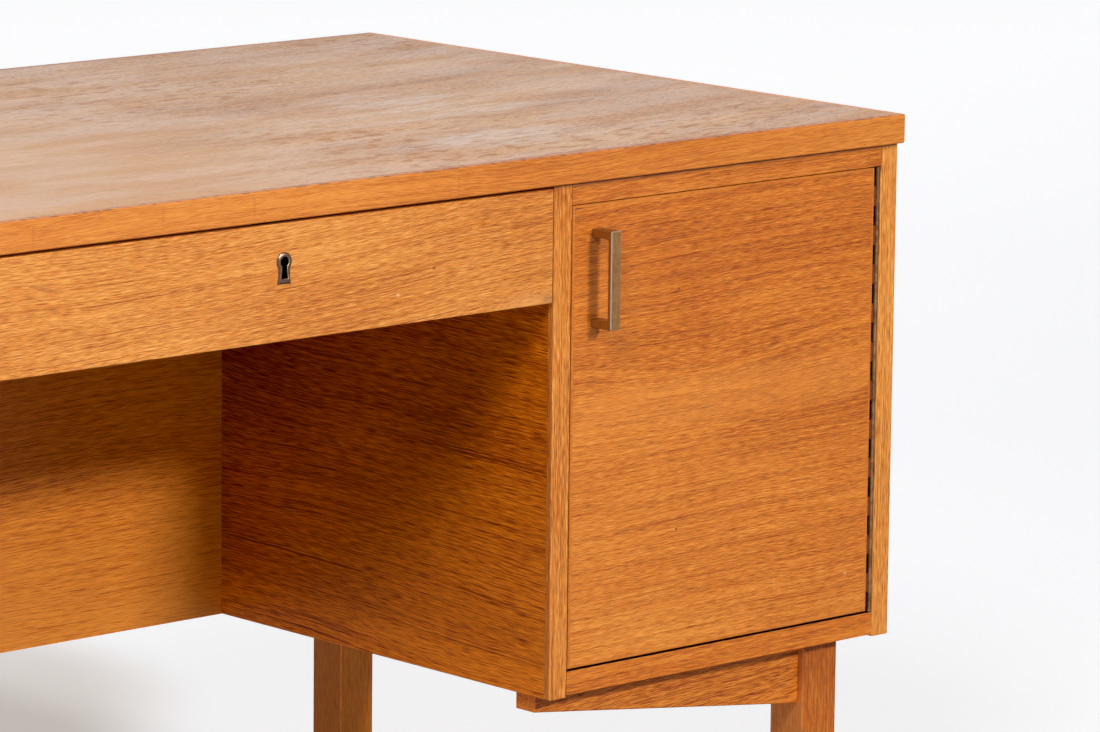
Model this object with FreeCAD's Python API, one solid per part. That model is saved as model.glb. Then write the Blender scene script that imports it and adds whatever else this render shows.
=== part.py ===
import FreeCAD, Part
import math
import os

from FreeCAD import Vector

# Writing desk with a cupboard pedestal, a drawer pedestal, a locking centre drawer
# and open book bays at the back. Millimetres, +Z up, the sitter's side faces -Y.
# The origin is on the floor, at the middle of the whole outline, handles included.

# Overall sizes
desk_width = 1400.0
desk_depth = 714.0
desk_height = 730.0

# Desktop
top_thickness = 25.5
desktop_lipping = 8.0
desktop_edge_radius = 1.5
desktop_under_arris = 1.0

# Carcass boards
side_overhang = 6.0
front_overhang = 3.0
rear_overhang = 3.0
pedestal_width = 403.0
pedestal_height = 436.0
panel_thickness = 20.0
panel_lipping = 6.0
panel_arris = 0.7
top_board_thickness = 18.0
bottom_board_thickness = 20.0
bottom_board_rise = 2.0
partition_thickness = 12.0
modesty_setback = 433.0
modesty_thickness = 18.0

# Tongues that hold the boards in the panels
tongue_length = 6.0
tongue_thickness = 6.0
tongue_stop = 14.0
glue_gap = 0.1

# Shelves and their pins
shelf_thickness = 18.0
shelf_end_gap = 0.5
shelf_rear_gap = 1.0
shelf_arris = 0.7
cupboard_shelf_height = 188.0
cupboard_shelf_setback = 34.0
rear_shelf_height = 196.0
rear_shelf_setback = 6.0
shelf_pin_radius = 2.5
shelf_pin_insert = 8.0
shelf_pin_reach = 8.0
shelf_pin_inset = 40.0

# Legs, tapered brackets and side stretchers
leg_width = 41.0
leg_side_inset = 41.5
leg_setback = 21.0
leg_arris = 1.2
bracket_thickness = 24.0
bracket_setback = 6.7
bracket_end_inset = 9.2
bracket_end_depth = 16.8
bracket_leg_depth = 55.8
bracket_arris = 0.8
stretcher_thickness = 20.0
stretcher_height = 46.0
tenon_length = 16.0
tenon_thickness = 9.0
tenon_shoulder = 8.0

# Glides under the legs
glide_radius = 11.0
glide_height = 4.0
glide_rim = 1.5
glide_nail_radius = 1.2
glide_nail_length = 14.0

# Drawer boxes
drawer_side_thickness = 12.0
drawer_back_thickness = 12.0
drawer_bottom_thickness = 5.0
drawer_bottom_rise = 8.0
drawer_bottom_groove = 5.0
drawer_side_gap = 1.8
drawer_side_rise = 6.0
drawer_side_drop = 18.0
drawer_rear_gap = 16.0
drawer_arris = 0.5
dovetail_count = 3
dovetail_lap = 7.0
dovetail_waist_share = 0.5
dovetail_slope_share = 0.14

# Runners that the drawers hang on
runner_width = 7.0
runner_height = 13.0
runner_arris = 0.5
runner_stop = 22.0
running_gap = 0.3
resting_gap = 0.15

# Centre drawer
centre_front_height = 95.0
centre_front_thickness = 20.0
centre_front_top_gap = 2.8
centre_front_setback = 2.0

# Drawers of the left pedestal, from the top down
pedestal_front_thickness = 18.0
upper_front_height = 112.0
middle_front_height = 126.0
lower_front_height = 150.0
pedestal_front_gap = 2.0

# Cupboard door
door_thickness = 18.0
door_lipping = 2.2
door_top_gap = 1.0
door_bottom_gap = 2.0
door_left_gap = 1.0
door_arris = 0.4

# Bar handles
handle_length = 83.3
handle_width = 11.0
handle_projection = 24.5
handle_bar_thickness = 4.0
handle_arm_thickness = 7.0
handle_inner_radius = 2.0
handle_arris = 0.8
handle_screw_depth = 9.0
handle_screw_radius = 2.0
handle_screw_head_radius = 4.0
handle_screw_head_height = 2.4
handle_screw_head_arris = 0.8
handle_screw_gap = 0.1
door_handle_inset = 27.0
door_handle_drop = 20.7

# Continuous hinge of the door
hinge_gap = 8.0
hinge_barrel_radius = 1.4
hinge_barrel_offset = 2.5
hinge_pin_radius = 0.7
hinge_pin_clearance = 0.08
hinge_leaf_thickness = 0.8
hinge_leaf_width = 13.0
hinge_end_gap = 0.75
hinge_knuckle_count = 23
hinge_knuckle_gap = 0.2
hinge_screw_count = 6
hinge_screw_inset = 20.0
hinge_screw_head_radius = 2.7
hinge_screw_shank_radius = 1.3
hinge_screw_head_height = 1.4
hinge_screw_length = 13.0

# Magnetic catch of the door
catch_length = 46.0
catch_depth = 13.0
catch_height = 14.0
catch_inset = 28.0
catch_arris = 1.0
catch_gap = 0.3
catch_plate_length = 38.0
catch_plate_height = 12.0
catch_plate_thickness = 1.4
catch_magnet_width = 1.6
catch_magnet_proud = 0.2

# Lock of the centre drawer
keyhole_drop = 36.0
keyhole_radius = 4.2
keyhole_height = 18.0
keyhole_neck_width = 4.8
keyhole_foot_width = 6.6
escutcheon_height = 25.6
escutcheon_head_radius = 7.6
escutcheon_waist_width = 11.7
escutcheon_foot_width = 13.7
escutcheon_thickness = 1.5
escutcheon_edge = 0.6
escutcheon_neck_share = 0.63
escutcheon_waist_share = 0.28
lock_case_width = 60.0
lock_case_height = 54.0
lock_case_thickness = 11.0
lock_recess_depth = 8.0
lock_plate_width = 15.0
lock_plate_thickness = 2.0
lock_fit_gap = 0.1
key_post_radius = 1.2
key_chamber_depth = 7.0
bolt_width = 22.0
bolt_thickness = 4.0
bolt_length = 24.0
bolt_travel = 8.0
bolt_gap = 0.2
strike_length = 50.0
strike_width = 14.0
strike_thickness = 1.5
strike_slot_gap = 0.6
strike_pocket_spare = 1.0

# Screws that fix the brackets and the desktop
fixing_screw_radius = 2.0
fixing_head_radius = 4.2
fixing_head_height = 2.6
fixing_gap = 0.1
bracket_screw_grip = 14.0
fixing_bite = 13.0
bracket_screw_end_inset = 60.0
bracket_screw_leg_inset = 70.0
desktop_screw_side_inset = 60.0
desktop_screw_end_inset = 45.0

# Flats round the small turned pieces and their holes
screw_sides = 6
pin_sides = 6
knuckle_sides = 10
glide_sides = 12

# One overrun serves every cut that passes a face
overrun = 5.0
# Two places closer than this are the same place
same_place = 0.001

# Places that follow from the sizes
handle_proud = handle_projection - front_overhang
slab_front = (handle_proud - desk_depth) / 2
slab_rear = slab_front + desk_depth
half_width = desk_width / 2
slab_under = desk_height - top_thickness
carcass_front = slab_front + front_overhang
carcass_rear = slab_rear - rear_overhang
carcass_middle = (carcass_front + carcass_rear) / 2
outer_face = half_width - side_overhang
knee_face = outer_face - pedestal_width
bay_low = knee_face + panel_thickness
bay_high = outer_face - panel_thickness
panel_bottom = slab_under - pedestal_height
board_under = panel_bottom + bottom_board_rise
board_top = board_under + bottom_board_thickness
bay_top = slab_under - top_board_thickness
modesty_front = carcass_front + modesty_setback
modesty_rear = modesty_front + modesty_thickness
partition_rear = modesty_front + partition_thickness


def block(x, y, z):
    """Box between the low and high place given for each axis."""
    corner = Vector(x[0], y[0], z[0])
    return Part.makeBox(x[1] - x[0], y[1] - y[0], z[1] - z[0], corner)


def grown(span, amount):
    """A low and high place, each moved outwards by the amount."""
    return (span[0] - amount, span[1] + amount)


def about(centre, width):
    """A span of the given width about a centre."""
    return (centre - width / 2, centre + width / 2)


def prism(points, along):
    """Straight-sided solid on a closed outline of points."""
    outline = Part.makePolygon(points + [points[0]])
    return Part.Face(outline).extrude(along)


def other_side(shape):
    """The same shape on the other side of the desk's centre line."""
    return shape.mirror(Vector(0, 0, 0), Vector(1, 0, 0))


def other_end(shape):
    """The same shape at the other end of the carcass, front for rear."""
    return shape.mirror(Vector(0, carcass_middle, 0), Vector(0, 1, 0))


def eased(shape, size, chosen):
    """The shape with a small chamfer on each edge whose box is chosen."""
    edges = [edge for edge in shape.Edges if chosen(edge.BoundBox)]
    return shape.makeChamfer(size, edges)


def on_front(place):
    """Chooses the edges that lie in the plane y = place."""
    return lambda box: abs(box.YMin - place) + abs(box.YMax - place) < same_place


def upright(box):
    """Chooses the vertical edges."""
    return box.XLength + box.YLength < same_place


def joined(shape, additions):
    """The shape fused with each addition into one clean solid."""
    return shape.fuse(additions).removeSplitter()


def ring(radius, height, sides):
    """Corners of a regular outline on a circle, level at a height."""
    turn = 2 * math.pi / sides
    return [Vector(radius * math.cos(turn * n), radius * math.sin(turn * n), height) for n in range(sides)]


def turned(rings, place, way):
    """Small turned piece with flats between its rings, moved to a place and way."""
    outlines = [rings[0], rings[-1]]
    for low, high in zip(rings, rings[1:]):
        outlines += [[low[n - 1], low[n], high[n], high[n - 1]] for n in range(len(low))]
    faces = [Part.Face(Part.makePolygon(outline + [outline[0]])) for outline in outlines]
    shape = Part.Solid(Part.Shell(faces))
    shape.Placement = FreeCAD.Placement(place, FreeCAD.Rotation(Vector(0, 0, 1), way))
    return shape


def rod(radius, length, place, way, sides):
    """Small rod with flats, in place of a fine cylinder."""
    return turned([ring(radius, 0, sides), ring(radius, length, sides)], place, way)


def wood_screw(place, way, length, shank, head, head_height, gap=0.0):
    """Countersunk screw whose flat head is at a place; a gap makes its hole."""
    cone = turned([ring(head + gap, 0, screw_sides), ring(shank + gap, head_height, screw_sides)], place, way)
    return joined(cone, [rod(shank + gap, length + gap, place, way, screw_sides)])


# Boards, tongues and housings

def end_tongues(x, y, z, gap=0.0):
    """Tongues on both ends of a level board; with a gap, the housings for them."""
    reach = grown(x, tongue_length + gap)
    middle = about((z[0] + z[1]) / 2, tongue_thickness)
    return block(reach, grown(y, gap - tongue_stop), grown(middle, gap))


def side_tongues(x, y, z, gap=0.0):
    """Tongues on both sides of a standing board; with a gap, their housings."""
    reach = grown(x, tongue_length + gap)
    middle = about((y[0] + y[1]) / 2, tongue_thickness)
    return block(reach, grown(middle, gap), (z[0] + tongue_stop - gap, z[1]))


bay_width_span = (bay_low, bay_high)
knee_span = (-knee_face, knee_face)
carcass_span = (carcass_front, carcass_rear)
partition_y = (modesty_front, partition_rear)
modesty_y = (modesty_front, modesty_rear)
rear_bay_y = (modesty_rear, carcass_rear)
panel_z = (panel_bottom, slab_under)
bay_z = (board_top, bay_top)
bottom_board_z = (board_under, board_top)
top_board_z = (bay_top, slab_under)


def bottom_board():
    """Bottom of the right pedestal, tongued into both panels."""
    board = block(bay_width_span, carcass_span, bottom_board_z)
    tongues = end_tongues(bay_width_span, carcass_span, bottom_board_z)
    board = joined(board, [tongues])
    return board.cut(bracket_screws(fixing_gap))


def top_board():
    """Top of the right pedestal, under the desktop."""
    board = block(bay_width_span, carcass_span, top_board_z)
    tongues = end_tongues(bay_width_span, carcass_span, top_board_z)
    board = joined(board, [tongues])
    return board.cut(desktop_screws(fixing_gap))


def partition():
    """Board between the right pedestal's front space and its book bay."""
    board = block(bay_width_span, partition_y, bay_z)
    return joined(board, [side_tongues(bay_width_span, partition_y, bay_z)])


def modesty_panel():
    """Panel across the back of the kneehole."""
    board = block(knee_span, modesty_y, panel_z)
    return joined(board, [side_tongues(knee_span, modesty_y, panel_z)])


def rear_bay_bottom():
    """Bottom of the book bay behind the modesty panel."""
    board = block(knee_span, rear_bay_y, bottom_board_z)
    return joined(board, [end_tongues(knee_span, rear_bay_y, bottom_board_z)])


def panel_block(x):
    """A side panel with its lippings, before it is parted and housed."""
    board = block(x, carcass_span, panel_z)
    ends = lambda box: upright(box) or (box.ZMax < panel_bottom + same_place and box.XLength < same_place)
    return eased(board, panel_arris, ends)


def panel_core(x):
    """The veneered board between a side panel's two lippings."""
    cores = block(grown(x, overrun), grown(carcass_span, -panel_lipping), grown(panel_z, overrun))
    return panel_block(x).common(cores)


def panel_lippings(x):
    """The solid strips on a side panel's front and rear edges."""
    cores = block(grown(x, overrun), grown(carcass_span, -panel_lipping), grown(panel_z, overrun))
    return panel_block(x).cut(cores)


def bay_housings():
    """Housings of the right pedestal's boards, in both of its panels."""
    return [
        end_tongues(bay_width_span, carcass_span, bottom_board_z, glue_gap),
        end_tongues(bay_width_span, carcass_span, top_board_z, glue_gap),
        side_tongues(bay_width_span, partition_y, bay_z, glue_gap),
    ]


def knee_housings():
    """Housings of the boards that cross the kneehole."""
    return [
        side_tongues(knee_span, modesty_y, panel_z, glue_gap),
        end_tongues(knee_span, rear_bay_y, bottom_board_z, glue_gap),
    ]


# Desktop

def desktop_slab():
    """The whole desktop with its rounded edges."""
    slab = block((-half_width, half_width), (slab_front, slab_rear), (slab_under, desk_height))
    upper = [edge for edge in slab.Edges if edge.BoundBox.ZMax > slab_under + same_place]
    rounded = slab.makeFillet(desktop_edge_radius, upper)
    return eased(rounded, desktop_under_arris, lambda box: box.ZMax < slab_under + same_place)


core_x = (desktop_lipping - half_width, half_width - desktop_lipping)
core_y = (slab_front + desktop_lipping, slab_rear - desktop_lipping)


def desktop_core():
    """Veneered board inside the lippings, with its lock pocket and screw holes."""
    core = desktop_slab().common(block(core_x, core_y, grown((slab_under, desk_height), overrun)))
    core = core.cut([strike_recess(), strike_pocket()])
    core = core.cut(desktop_screws(fixing_gap))
    return core.cut([other_side(hole) for hole in desktop_screws(fixing_gap)])


def mitred_wedge(edge_points, core_points):
    """Prism over one lipping's mitred plan."""
    low = slab_under - overrun
    plan = [Vector(x, y, low) for x, y in edge_points + core_points]
    return prism(plan, Vector(0, 0, top_thickness + overrun + overrun))


def long_lippings():
    """Solid strips along the desktop's front and rear edges, mitred at their ends."""
    strips = []
    for edge, inner in ((slab_front, core_y[0]), (slab_rear, core_y[1])):
        ends = [(-half_width, edge), (half_width, edge)]
        wedge = mitred_wedge(ends, [(core_x[1], inner), (core_x[0], inner)])
        strips.append(desktop_slab().common(wedge))
    return Part.makeCompound(strips)


def end_lippings():
    """Solid strips across the desktop's two ends, mitred to the long ones."""
    strips = []
    for edge, inner in ((-half_width, core_x[0]), (half_width, core_x[1])):
        ends = [(edge, slab_front), (edge, slab_rear)]
        wedge = mitred_wedge(ends, [(inner, core_y[1]), (inner, core_y[0])])
        strips.append(desktop_slab().common(wedge))
    return Part.makeCompound(strips)


# Shelves and pins

cupboard_shelf_z = (board_top + cupboard_shelf_height, board_top + cupboard_shelf_height + shelf_thickness)
cupboard_shelf_y = (carcass_front + cupboard_shelf_setback, modesty_front - shelf_rear_gap)
rear_shelf_z = (board_top + rear_shelf_height, board_top + rear_shelf_height + shelf_thickness)
side_shelf_y = (partition_rear + shelf_rear_gap, carcass_rear - rear_shelf_setback)
centre_shelf_y = (modesty_rear + shelf_rear_gap, carcass_rear - rear_shelf_setback)


def shelf(x, y, z):
    """Loose shelf between two panels, with eased long edges."""
    board = block(grown(x, -shelf_end_gap), y, z)
    along = lambda box: box.YLength + box.ZLength < same_place
    return eased(board, shelf_arris, along)


def pins(x, y, z, gap=0.0):
    """Four pins under a shelf; with a gap, the holes that they stand in."""
    rods = []
    for face, inwards in ((x[0], 1), (x[1], -1)):
        for place in (y[0] + shelf_pin_inset, y[1] - shelf_pin_inset):
            start = Vector(face - inwards * (shelf_pin_insert + gap), place, z[0] - shelf_pin_radius)
            length = shelf_pin_insert + gap + shelf_pin_reach
            rods.append(rod(shelf_pin_radius + gap, length, start, Vector(inwards, 0, 0), pin_sides))
    return rods


def bay_pins(gap=0.0):
    """Pins of the cupboard shelf and of the right book bay's shelf."""
    return pins(bay_width_span, cupboard_shelf_y, cupboard_shelf_z, gap) + side_bay_pins(gap)


def side_bay_pins(gap=0.0):
    """Pins of the right book bay's shelf."""
    return pins(bay_width_span, side_shelf_y, rear_shelf_z, gap)


def knee_pins(gap=0.0):
    """Pins of the middle book bay's shelf."""
    return pins(knee_span, centre_shelf_y, rear_shelf_z, gap)


# Legs, brackets and stretchers

leg_high = outer_face - leg_side_inset
leg_x = (leg_high - leg_width, leg_high)
leg_y = (carcass_front + leg_setback, carcass_front + leg_setback + leg_width)
bracket_y = (leg_y[0] + bracket_setback, leg_y[0] + bracket_setback + bracket_thickness)
bracket_end = knee_face + bracket_end_inset
bracket_tip = panel_bottom - bracket_end_depth
bracket_root = panel_bottom - bracket_leg_depth
stretcher_z = (board_under - stretcher_height, board_under)


def bracket_tenon(gap=0.0):
    """Tenon of the front right bracket in its leg; with a gap, the mortise."""
    middle = about((bracket_y[0] + bracket_y[1]) / 2, tenon_thickness)
    low = bracket_root + tenon_shoulder
    high = board_under - tenon_shoulder
    return block((leg_x[0], leg_x[0] + tenon_length + gap), grown(middle, gap), grown((low, high), gap))


def stretcher_tenons(gap=0.0):
    """Tenons of the right stretcher in both legs; with a gap, the mortises."""
    middle = about((leg_x[0] + leg_x[1]) / 2, tenon_thickness)
    long = (leg_y[1] - tenon_length - gap, carcass_rear + carcass_front - leg_y[1] + tenon_length + gap)
    high = grown(stretcher_z, gap - tenon_shoulder)
    return block(grown(middle, gap), long, high)


def leg():
    """Front right leg, from its glide to the pedestal's bottom board."""
    post = eased(block(leg_x, leg_y, (glide_height, board_under)), leg_arris, upright)
    nail = rod(glide_nail_radius, glide_nail_length, glide_centre(), Vector(0, 0, 1), screw_sides)
    return post.cut([bracket_tenon(glue_gap), stretcher_tenons(glue_gap), nail])


def bracket():
    """Tapered front right bracket: it reaches from the leg under the pedestal."""
    notch = knee_face + panel_thickness
    outline = [
        Vector(bracket_end, bracket_y[0], bracket_tip),
        Vector(bracket_end, bracket_y[0], panel_bottom),
        Vector(notch, bracket_y[0], panel_bottom),
        Vector(notch, bracket_y[0], board_under),
        Vector(leg_x[0], bracket_y[0], board_under),
        Vector(leg_x[0], bracket_y[0], bracket_root),
    ]
    rail = prism(outline, Vector(0, bracket_thickness, 0))
    low = lambda box: box.ZMin < bracket_tip + same_place and box.XLength + box.ZLength > same_place
    tip = lambda box: upright(box) and box.XMax < bracket_end + same_place
    rail = eased(rail, bracket_arris, lambda box: (low(box) and box.ZMax < panel_bottom) or tip(box))
    rail = joined(rail, [bracket_tenon()])
    return rail.cut(bracket_screws(fixing_gap) + bracket_counterbores())


def stretcher():
    """Right side stretcher between the front and rear legs."""
    width = about((leg_x[0] + leg_x[1]) / 2, stretcher_thickness)
    rail = block(width, (leg_y[1], carcass_rear + carcass_front - leg_y[1]), stretcher_z)
    return joined(rail, [stretcher_tenons()])


def glide_centre():
    """Top of the glide under the front right leg."""
    return Vector((leg_x[0] + leg_x[1]) / 2, (leg_y[0] + leg_y[1]) / 2, glide_height)


def glide():
    """Turned glide with a sloping rim and a nail that holds it in the leg."""
    centre = glide_centre()
    rings = [
        ring(glide_radius - glide_rim, 0, glide_sides),
        ring(glide_radius, glide_rim, glide_sides),
        ring(glide_radius, glide_height, glide_sides),
    ]
    disc = turned(rings, Vector(centre.x, centre.y, 0), Vector(0, 0, 1))
    nail = rod(glide_nail_radius, glide_nail_length, centre, Vector(0, 0, 1), screw_sides)
    return disc.fuse(nail)


def at_four_corners(shape):
    """A piece of the front right corner, repeated at all four."""
    right = [shape, other_end(shape)]
    return right + [other_side(copy) for copy in right]


# Screws that fix the brackets and the desktop

def bracket_screw_places():
    """Plan places of the front right bracket's two screws."""
    middle = (bracket_y[0] + bracket_y[1]) / 2
    return [
        (bracket_end + bracket_screw_end_inset, middle),
        (leg_x[0] - bracket_screw_leg_inset, middle),
    ]


def bracket_screws(gap=0.0):
    """Screws of the right pedestal's two brackets, or the holes for them."""
    screws = []
    for x, y in bracket_screw_places():
        head = Vector(x, y, board_under - bracket_screw_grip)
        length = bracket_screw_grip + fixing_bite
        screw = wood_screw(head, Vector(0, 0, 1), length, fixing_screw_radius,
                           fixing_head_radius, fixing_head_height, gap)
        screws += [screw, other_end(screw)]
    return screws


def bracket_counterbores():
    """Wide holes under the front right bracket that let its screw heads in."""
    holes = []
    for x, y in bracket_screw_places():
        low = bracket_root - overrun
        height = board_under - bracket_screw_grip - low
        foot = Vector(x, y, low)
        holes.append(rod(fixing_head_radius + fixing_gap, height, foot, Vector(0, 0, 1), screw_sides))
    return holes


def desktop_screws(gap=0.0):
    """Screws up through the right pedestal's top board, or the holes for them."""
    screws = []
    for x in grown(bay_width_span, -desktop_screw_side_inset):
        for y in (carcass_front + desktop_screw_end_inset, carcass_rear - desktop_screw_end_inset):
            head = Vector(x, y, bay_top)
            length = top_board_thickness + fixing_bite
            screws.append(wood_screw(head, Vector(0, 0, 1), length, fixing_screw_radius,
                                     fixing_head_radius, fixing_head_height, gap))
    return screws


# Drawer boxes

def dovetails(x, waist_y, wide_y, z):
    """Row of tails, each a trapezium that widens from waist_y to wide_y."""
    pitch = (z[1] - z[0]) / dovetail_count
    waist = pitch * dovetail_waist_share / 2
    wide = waist + abs(wide_y - waist_y) * dovetail_slope_share
    tails = []
    for number in range(dovetail_count):
        middle = z[0] + pitch * (2 * number + 1) / 2
        outline = [
            Vector(x[0], waist_y, middle - waist),
            Vector(x[0], wide_y, middle - wide),
            Vector(x[0], wide_y, middle + wide),
            Vector(x[0], waist_y, middle + waist),
        ]
        tails.append(prism(outline, Vector(x[1] - x[0], 0, 0)))
    return tails


def runner_span(side_z):
    """Low and high edge of the runner in the middle of a drawer side."""
    return about((side_z[0] + side_z[1]) / 2, runner_height)


def drawer_box(opening, face_y, front_thickness, front_z):
    """Front, two sides, back and bottom of one dovetailed drawer, and its runners."""
    outer = grown(opening, -drawer_side_gap)
    joint_y = face_y + front_thickness
    end_y = modesty_front - drawer_rear_gap
    side_z = (front_z[0] + drawer_side_rise, front_z[1] - drawer_side_drop)
    bottom_z = (side_z[0] + drawer_bottom_rise, side_z[0] + drawer_bottom_rise + drawer_bottom_thickness)
    back_y = (end_y - drawer_back_thickness, end_y)
    back_z = (bottom_z[1], side_z[1])
    side_spans = [
        (outer[0], outer[0] + drawer_side_thickness),
        (outer[1] - drawer_side_thickness, outer[1]),
    ]
    inner = (side_spans[0][1], side_spans[1][0])
    tail_end = joint_y - front_thickness + dovetail_lap
    front = eased(block(outer, (face_y, joint_y), front_z), drawer_arris, on_front(face_y))
    back = block(inner, back_y, back_z)
    bottom = joined(
        block(grown(inner, drawer_bottom_groove), (joint_y, end_y), bottom_z),
        [block(inner, (joint_y - drawer_bottom_groove, joint_y), bottom_z)],
    )
    bottom_slot = block(grown(inner, drawer_bottom_groove + glue_gap), (joint_y, end_y + overrun),
                        grown(bottom_z, glue_gap))
    front_slot = block(inner, (joint_y - drawer_bottom_groove - glue_gap, joint_y),
                       grown(bottom_z, glue_gap))
    runner_z = runner_span(side_z)
    groove_z = (runner_z[0] - running_gap, runner_z[1] + resting_gap)
    groove_reach = runner_width - drawer_side_gap + running_gap
    groove_y = (joint_y + runner_stop, end_y + overrun)
    grooves = [
        block((outer[0] - overrun, outer[0] + groove_reach), groove_y, groove_z),
        block((outer[1] - groove_reach, outer[1] + overrun), groove_y, groove_z),
    ]
    sides = []
    for span in side_spans:
        tails = dovetails(span, joint_y, tail_end, side_z)
        rear_pins = block(span, back_y, back_z).cut(dovetails(span, back_y[0], back_y[1], back_z))
        side = joined(block(span, (joint_y, end_y), side_z), tails)
        sides.append(side.cut([rear_pins, bottom_slot] + grooves))
        front = front.cut(tails)
        back = back.fuse(rear_pins)
    runner_y = (joint_y + runner_stop + running_gap, end_y)
    runners = []
    for x in ((opening[0], opening[0] + runner_width), (opening[1] - runner_width, opening[1])):
        runners.append(runner(x, runner_y, runner_z))
    return {
        "front": front.cut(front_slot),
        "sides": sides,
        "back": back.removeSplitter().cut(grooves),
        "bottom": bottom,
        "runners": runners,
    }


def runner(x, y, z):
    """Hardwood strip on a panel, with eased long edges."""
    along = lambda box: box.XLength + box.ZLength < same_place
    return eased(block(x, y, z), runner_arris, along)


# Bar handles

def bar_handle(gap=0.0):
    """U-shaped bar handle, upright, its feet on the plane y = 0 and centred on z = 0."""
    outer = block(about(0, handle_width), (-handle_projection, 0), about(0, handle_length))
    inner = block(
        grown(about(0, handle_width), overrun),
        (handle_bar_thickness - handle_projection, overrun),
        grown(about(0, handle_length), -handle_arm_thickness),
    )
    corners = [edge for edge in inner.Edges
               if edge.BoundBox.YMax < 0 and edge.BoundBox.YLength + edge.BoundBox.ZLength < same_place]
    bar = outer.cut(inner.makeFillet(handle_inner_radius, corners))
    rim = [edge for edge in bar.Edges
           if edge.BoundBox.YMax < same_place - handle_projection or ends_of_bar(edge.BoundBox)]
    bar = bar.makeChamfer(handle_arris, rim)
    return bar.cut(handle_holes(gap))


def ends_of_bar(box):
    """Chooses the long edges of a bar handle's two end faces."""
    level = box.ZLength < same_place and box.XLength < same_place
    return level and abs(box.ZMin) > handle_length / 2 - same_place


def handle_holes(gap):
    """Blind holes for the screws in a bar handle's feet."""
    depth = handle_screw_depth + gap
    way = Vector(0, -1, 0)
    radius = handle_screw_radius + gap
    return [rod(radius, depth, Vector(0, 0, z), way, pin_sides) for z in handle_screw_places()]


def handle_screw_places():
    """Heights of the two screws, at the middle of the arms."""
    return about(0, handle_length - handle_arm_thickness)


def handle_screws(panel_depth, gap=0.0):
    """Two pan-head screws through a front of the given depth, or the holes for them."""
    screws = []
    way = Vector(0, 1, 0)
    rings = [
        ring(handle_screw_head_radius, 0, knuckle_sides),
        ring(handle_screw_head_radius, handle_screw_head_height - handle_screw_head_arris, knuckle_sides),
        ring(handle_screw_head_radius - handle_screw_head_arris, handle_screw_head_height, knuckle_sides),
    ]
    for z in handle_screw_places():
        shank = rod(handle_screw_radius + gap, handle_screw_depth + panel_depth,
                    Vector(0, -handle_screw_depth, z), way, pin_sides)
        head = turned(rings, Vector(0, panel_depth, z), way)
        screws.append(shank if gap else joined(shank, [head]))
    return screws


def placed(shape, centre, level):
    """A handle or its screws, moved to a face, upright or turned level."""
    copy = shape.copy()
    if level:
        copy.rotate(Vector(0, 0, 0), Vector(0, 1, 0), 90)
    copy.translate(centre)
    return copy


def handle_set(centre, front_thickness, level):
    """A bar handle with its two screws, as one group of solids."""
    pieces = [bar_handle(handle_screw_gap)] + handle_screws(front_thickness)
    return Part.makeCompound([placed(piece, centre, level) for piece in pieces])


def handle_bores(centre, front_thickness, level):
    """The screw holes that a bar handle needs in its front."""
    return [placed(hole, centre, level) for hole in handle_screws(front_thickness, handle_screw_gap)]


# Cupboard door

door_x = (bay_low + door_left_gap, bay_high - hinge_gap)
door_y = (carcass_front, carcass_front + door_thickness)
door_z = (board_top + door_bottom_gap, bay_top - door_top_gap)
door_core_x = grown(door_x, -door_lipping)
door_core_z = grown(door_z, -door_lipping)
door_handle_z = door_z[1] - door_handle_drop - handle_length / 2
door_handle_centre = Vector(door_x[0] + door_handle_inset, door_y[0], door_handle_z)


def door_block():
    """The whole door with its eased front edges."""
    return eased(block(door_x, door_y, door_z), door_arris, on_front(door_y[0]))


def door_panel():
    """Veneered board inside the door's lippings."""
    core = door_block().common(block(door_core_x, grown(door_y, overrun), door_core_z))
    bores = handle_bores(door_handle_centre, door_thickness, False)
    return core.cut(bores + door_hinge_screws(glue_gap))


def door_lippings():
    """Strips round the door: the level ones run through, the upright ones stand between."""
    deep = grown(door_y, overrun)
    regions = [
        block(grown(door_x, overrun), deep, (door_core_z[1], door_z[1] + overrun)),
        block(grown(door_x, overrun), deep, (door_z[0] - overrun, door_core_z[0])),
        block((door_x[0] - overrun, door_core_x[0]), deep, door_core_z),
        block((door_core_x[1], door_x[1] + overrun), deep, door_core_z),
    ]
    strips = [door_block().common(region) for region in regions]
    return Part.makeCompound([strip.cut(door_hinge_screws(glue_gap)) for strip in strips])


# Continuous hinge

hinge_x = bay_high - hinge_barrel_offset
hinge_y = carcass_front + hinge_barrel_radius
hinge_z = grown(bay_z, -hinge_end_gap)
web_y = (hinge_y + hinge_barrel_radius - hinge_leaf_thickness, hinge_y + hinge_barrel_radius)
leaf_y = (web_y[0], web_y[0] + hinge_leaf_width)
panel_leaf_x = (bay_high - hinge_leaf_thickness, bay_high)
door_leaf_x = (door_x[1], door_x[1] + hinge_leaf_thickness)


def knuckle_spans(first):
    """Heights of every second knuckle, counted from the first given."""
    pitch = (hinge_z[1] - hinge_z[0]) / hinge_knuckle_count
    spans = []
    for number in range(first, hinge_knuckle_count, 2):
        low = hinge_z[0] + pitch * number
        spans.append((low + hinge_knuckle_gap / 2, low + pitch - hinge_knuckle_gap / 2))
    return spans


def hinge_leaf(plate_x, first):
    """One leaf: a plate, and webs that carry its share of the knuckles."""
    web_x = (min(hinge_x, plate_x[0]), max(hinge_x, plate_x[1]))
    plate = block(plate_x, leaf_y, hinge_z)
    bore = (hinge_pin_radius + hinge_pin_clearance) / math.cos(math.pi / pin_sides)
    up = Vector(0, 0, 1)
    additions = []
    bores = []
    for span in knuckle_spans(first):
        foot = Vector(hinge_x, hinge_y, span[0])
        height = span[1] - span[0]
        additions.append(rod(hinge_barrel_radius, height, foot, up, knuckle_sides))
        additions.append(block(web_x, web_y, span))
        bores.append(rod(bore, height, foot, up, pin_sides))
    return joined(plate, additions).cut(bores)


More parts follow.
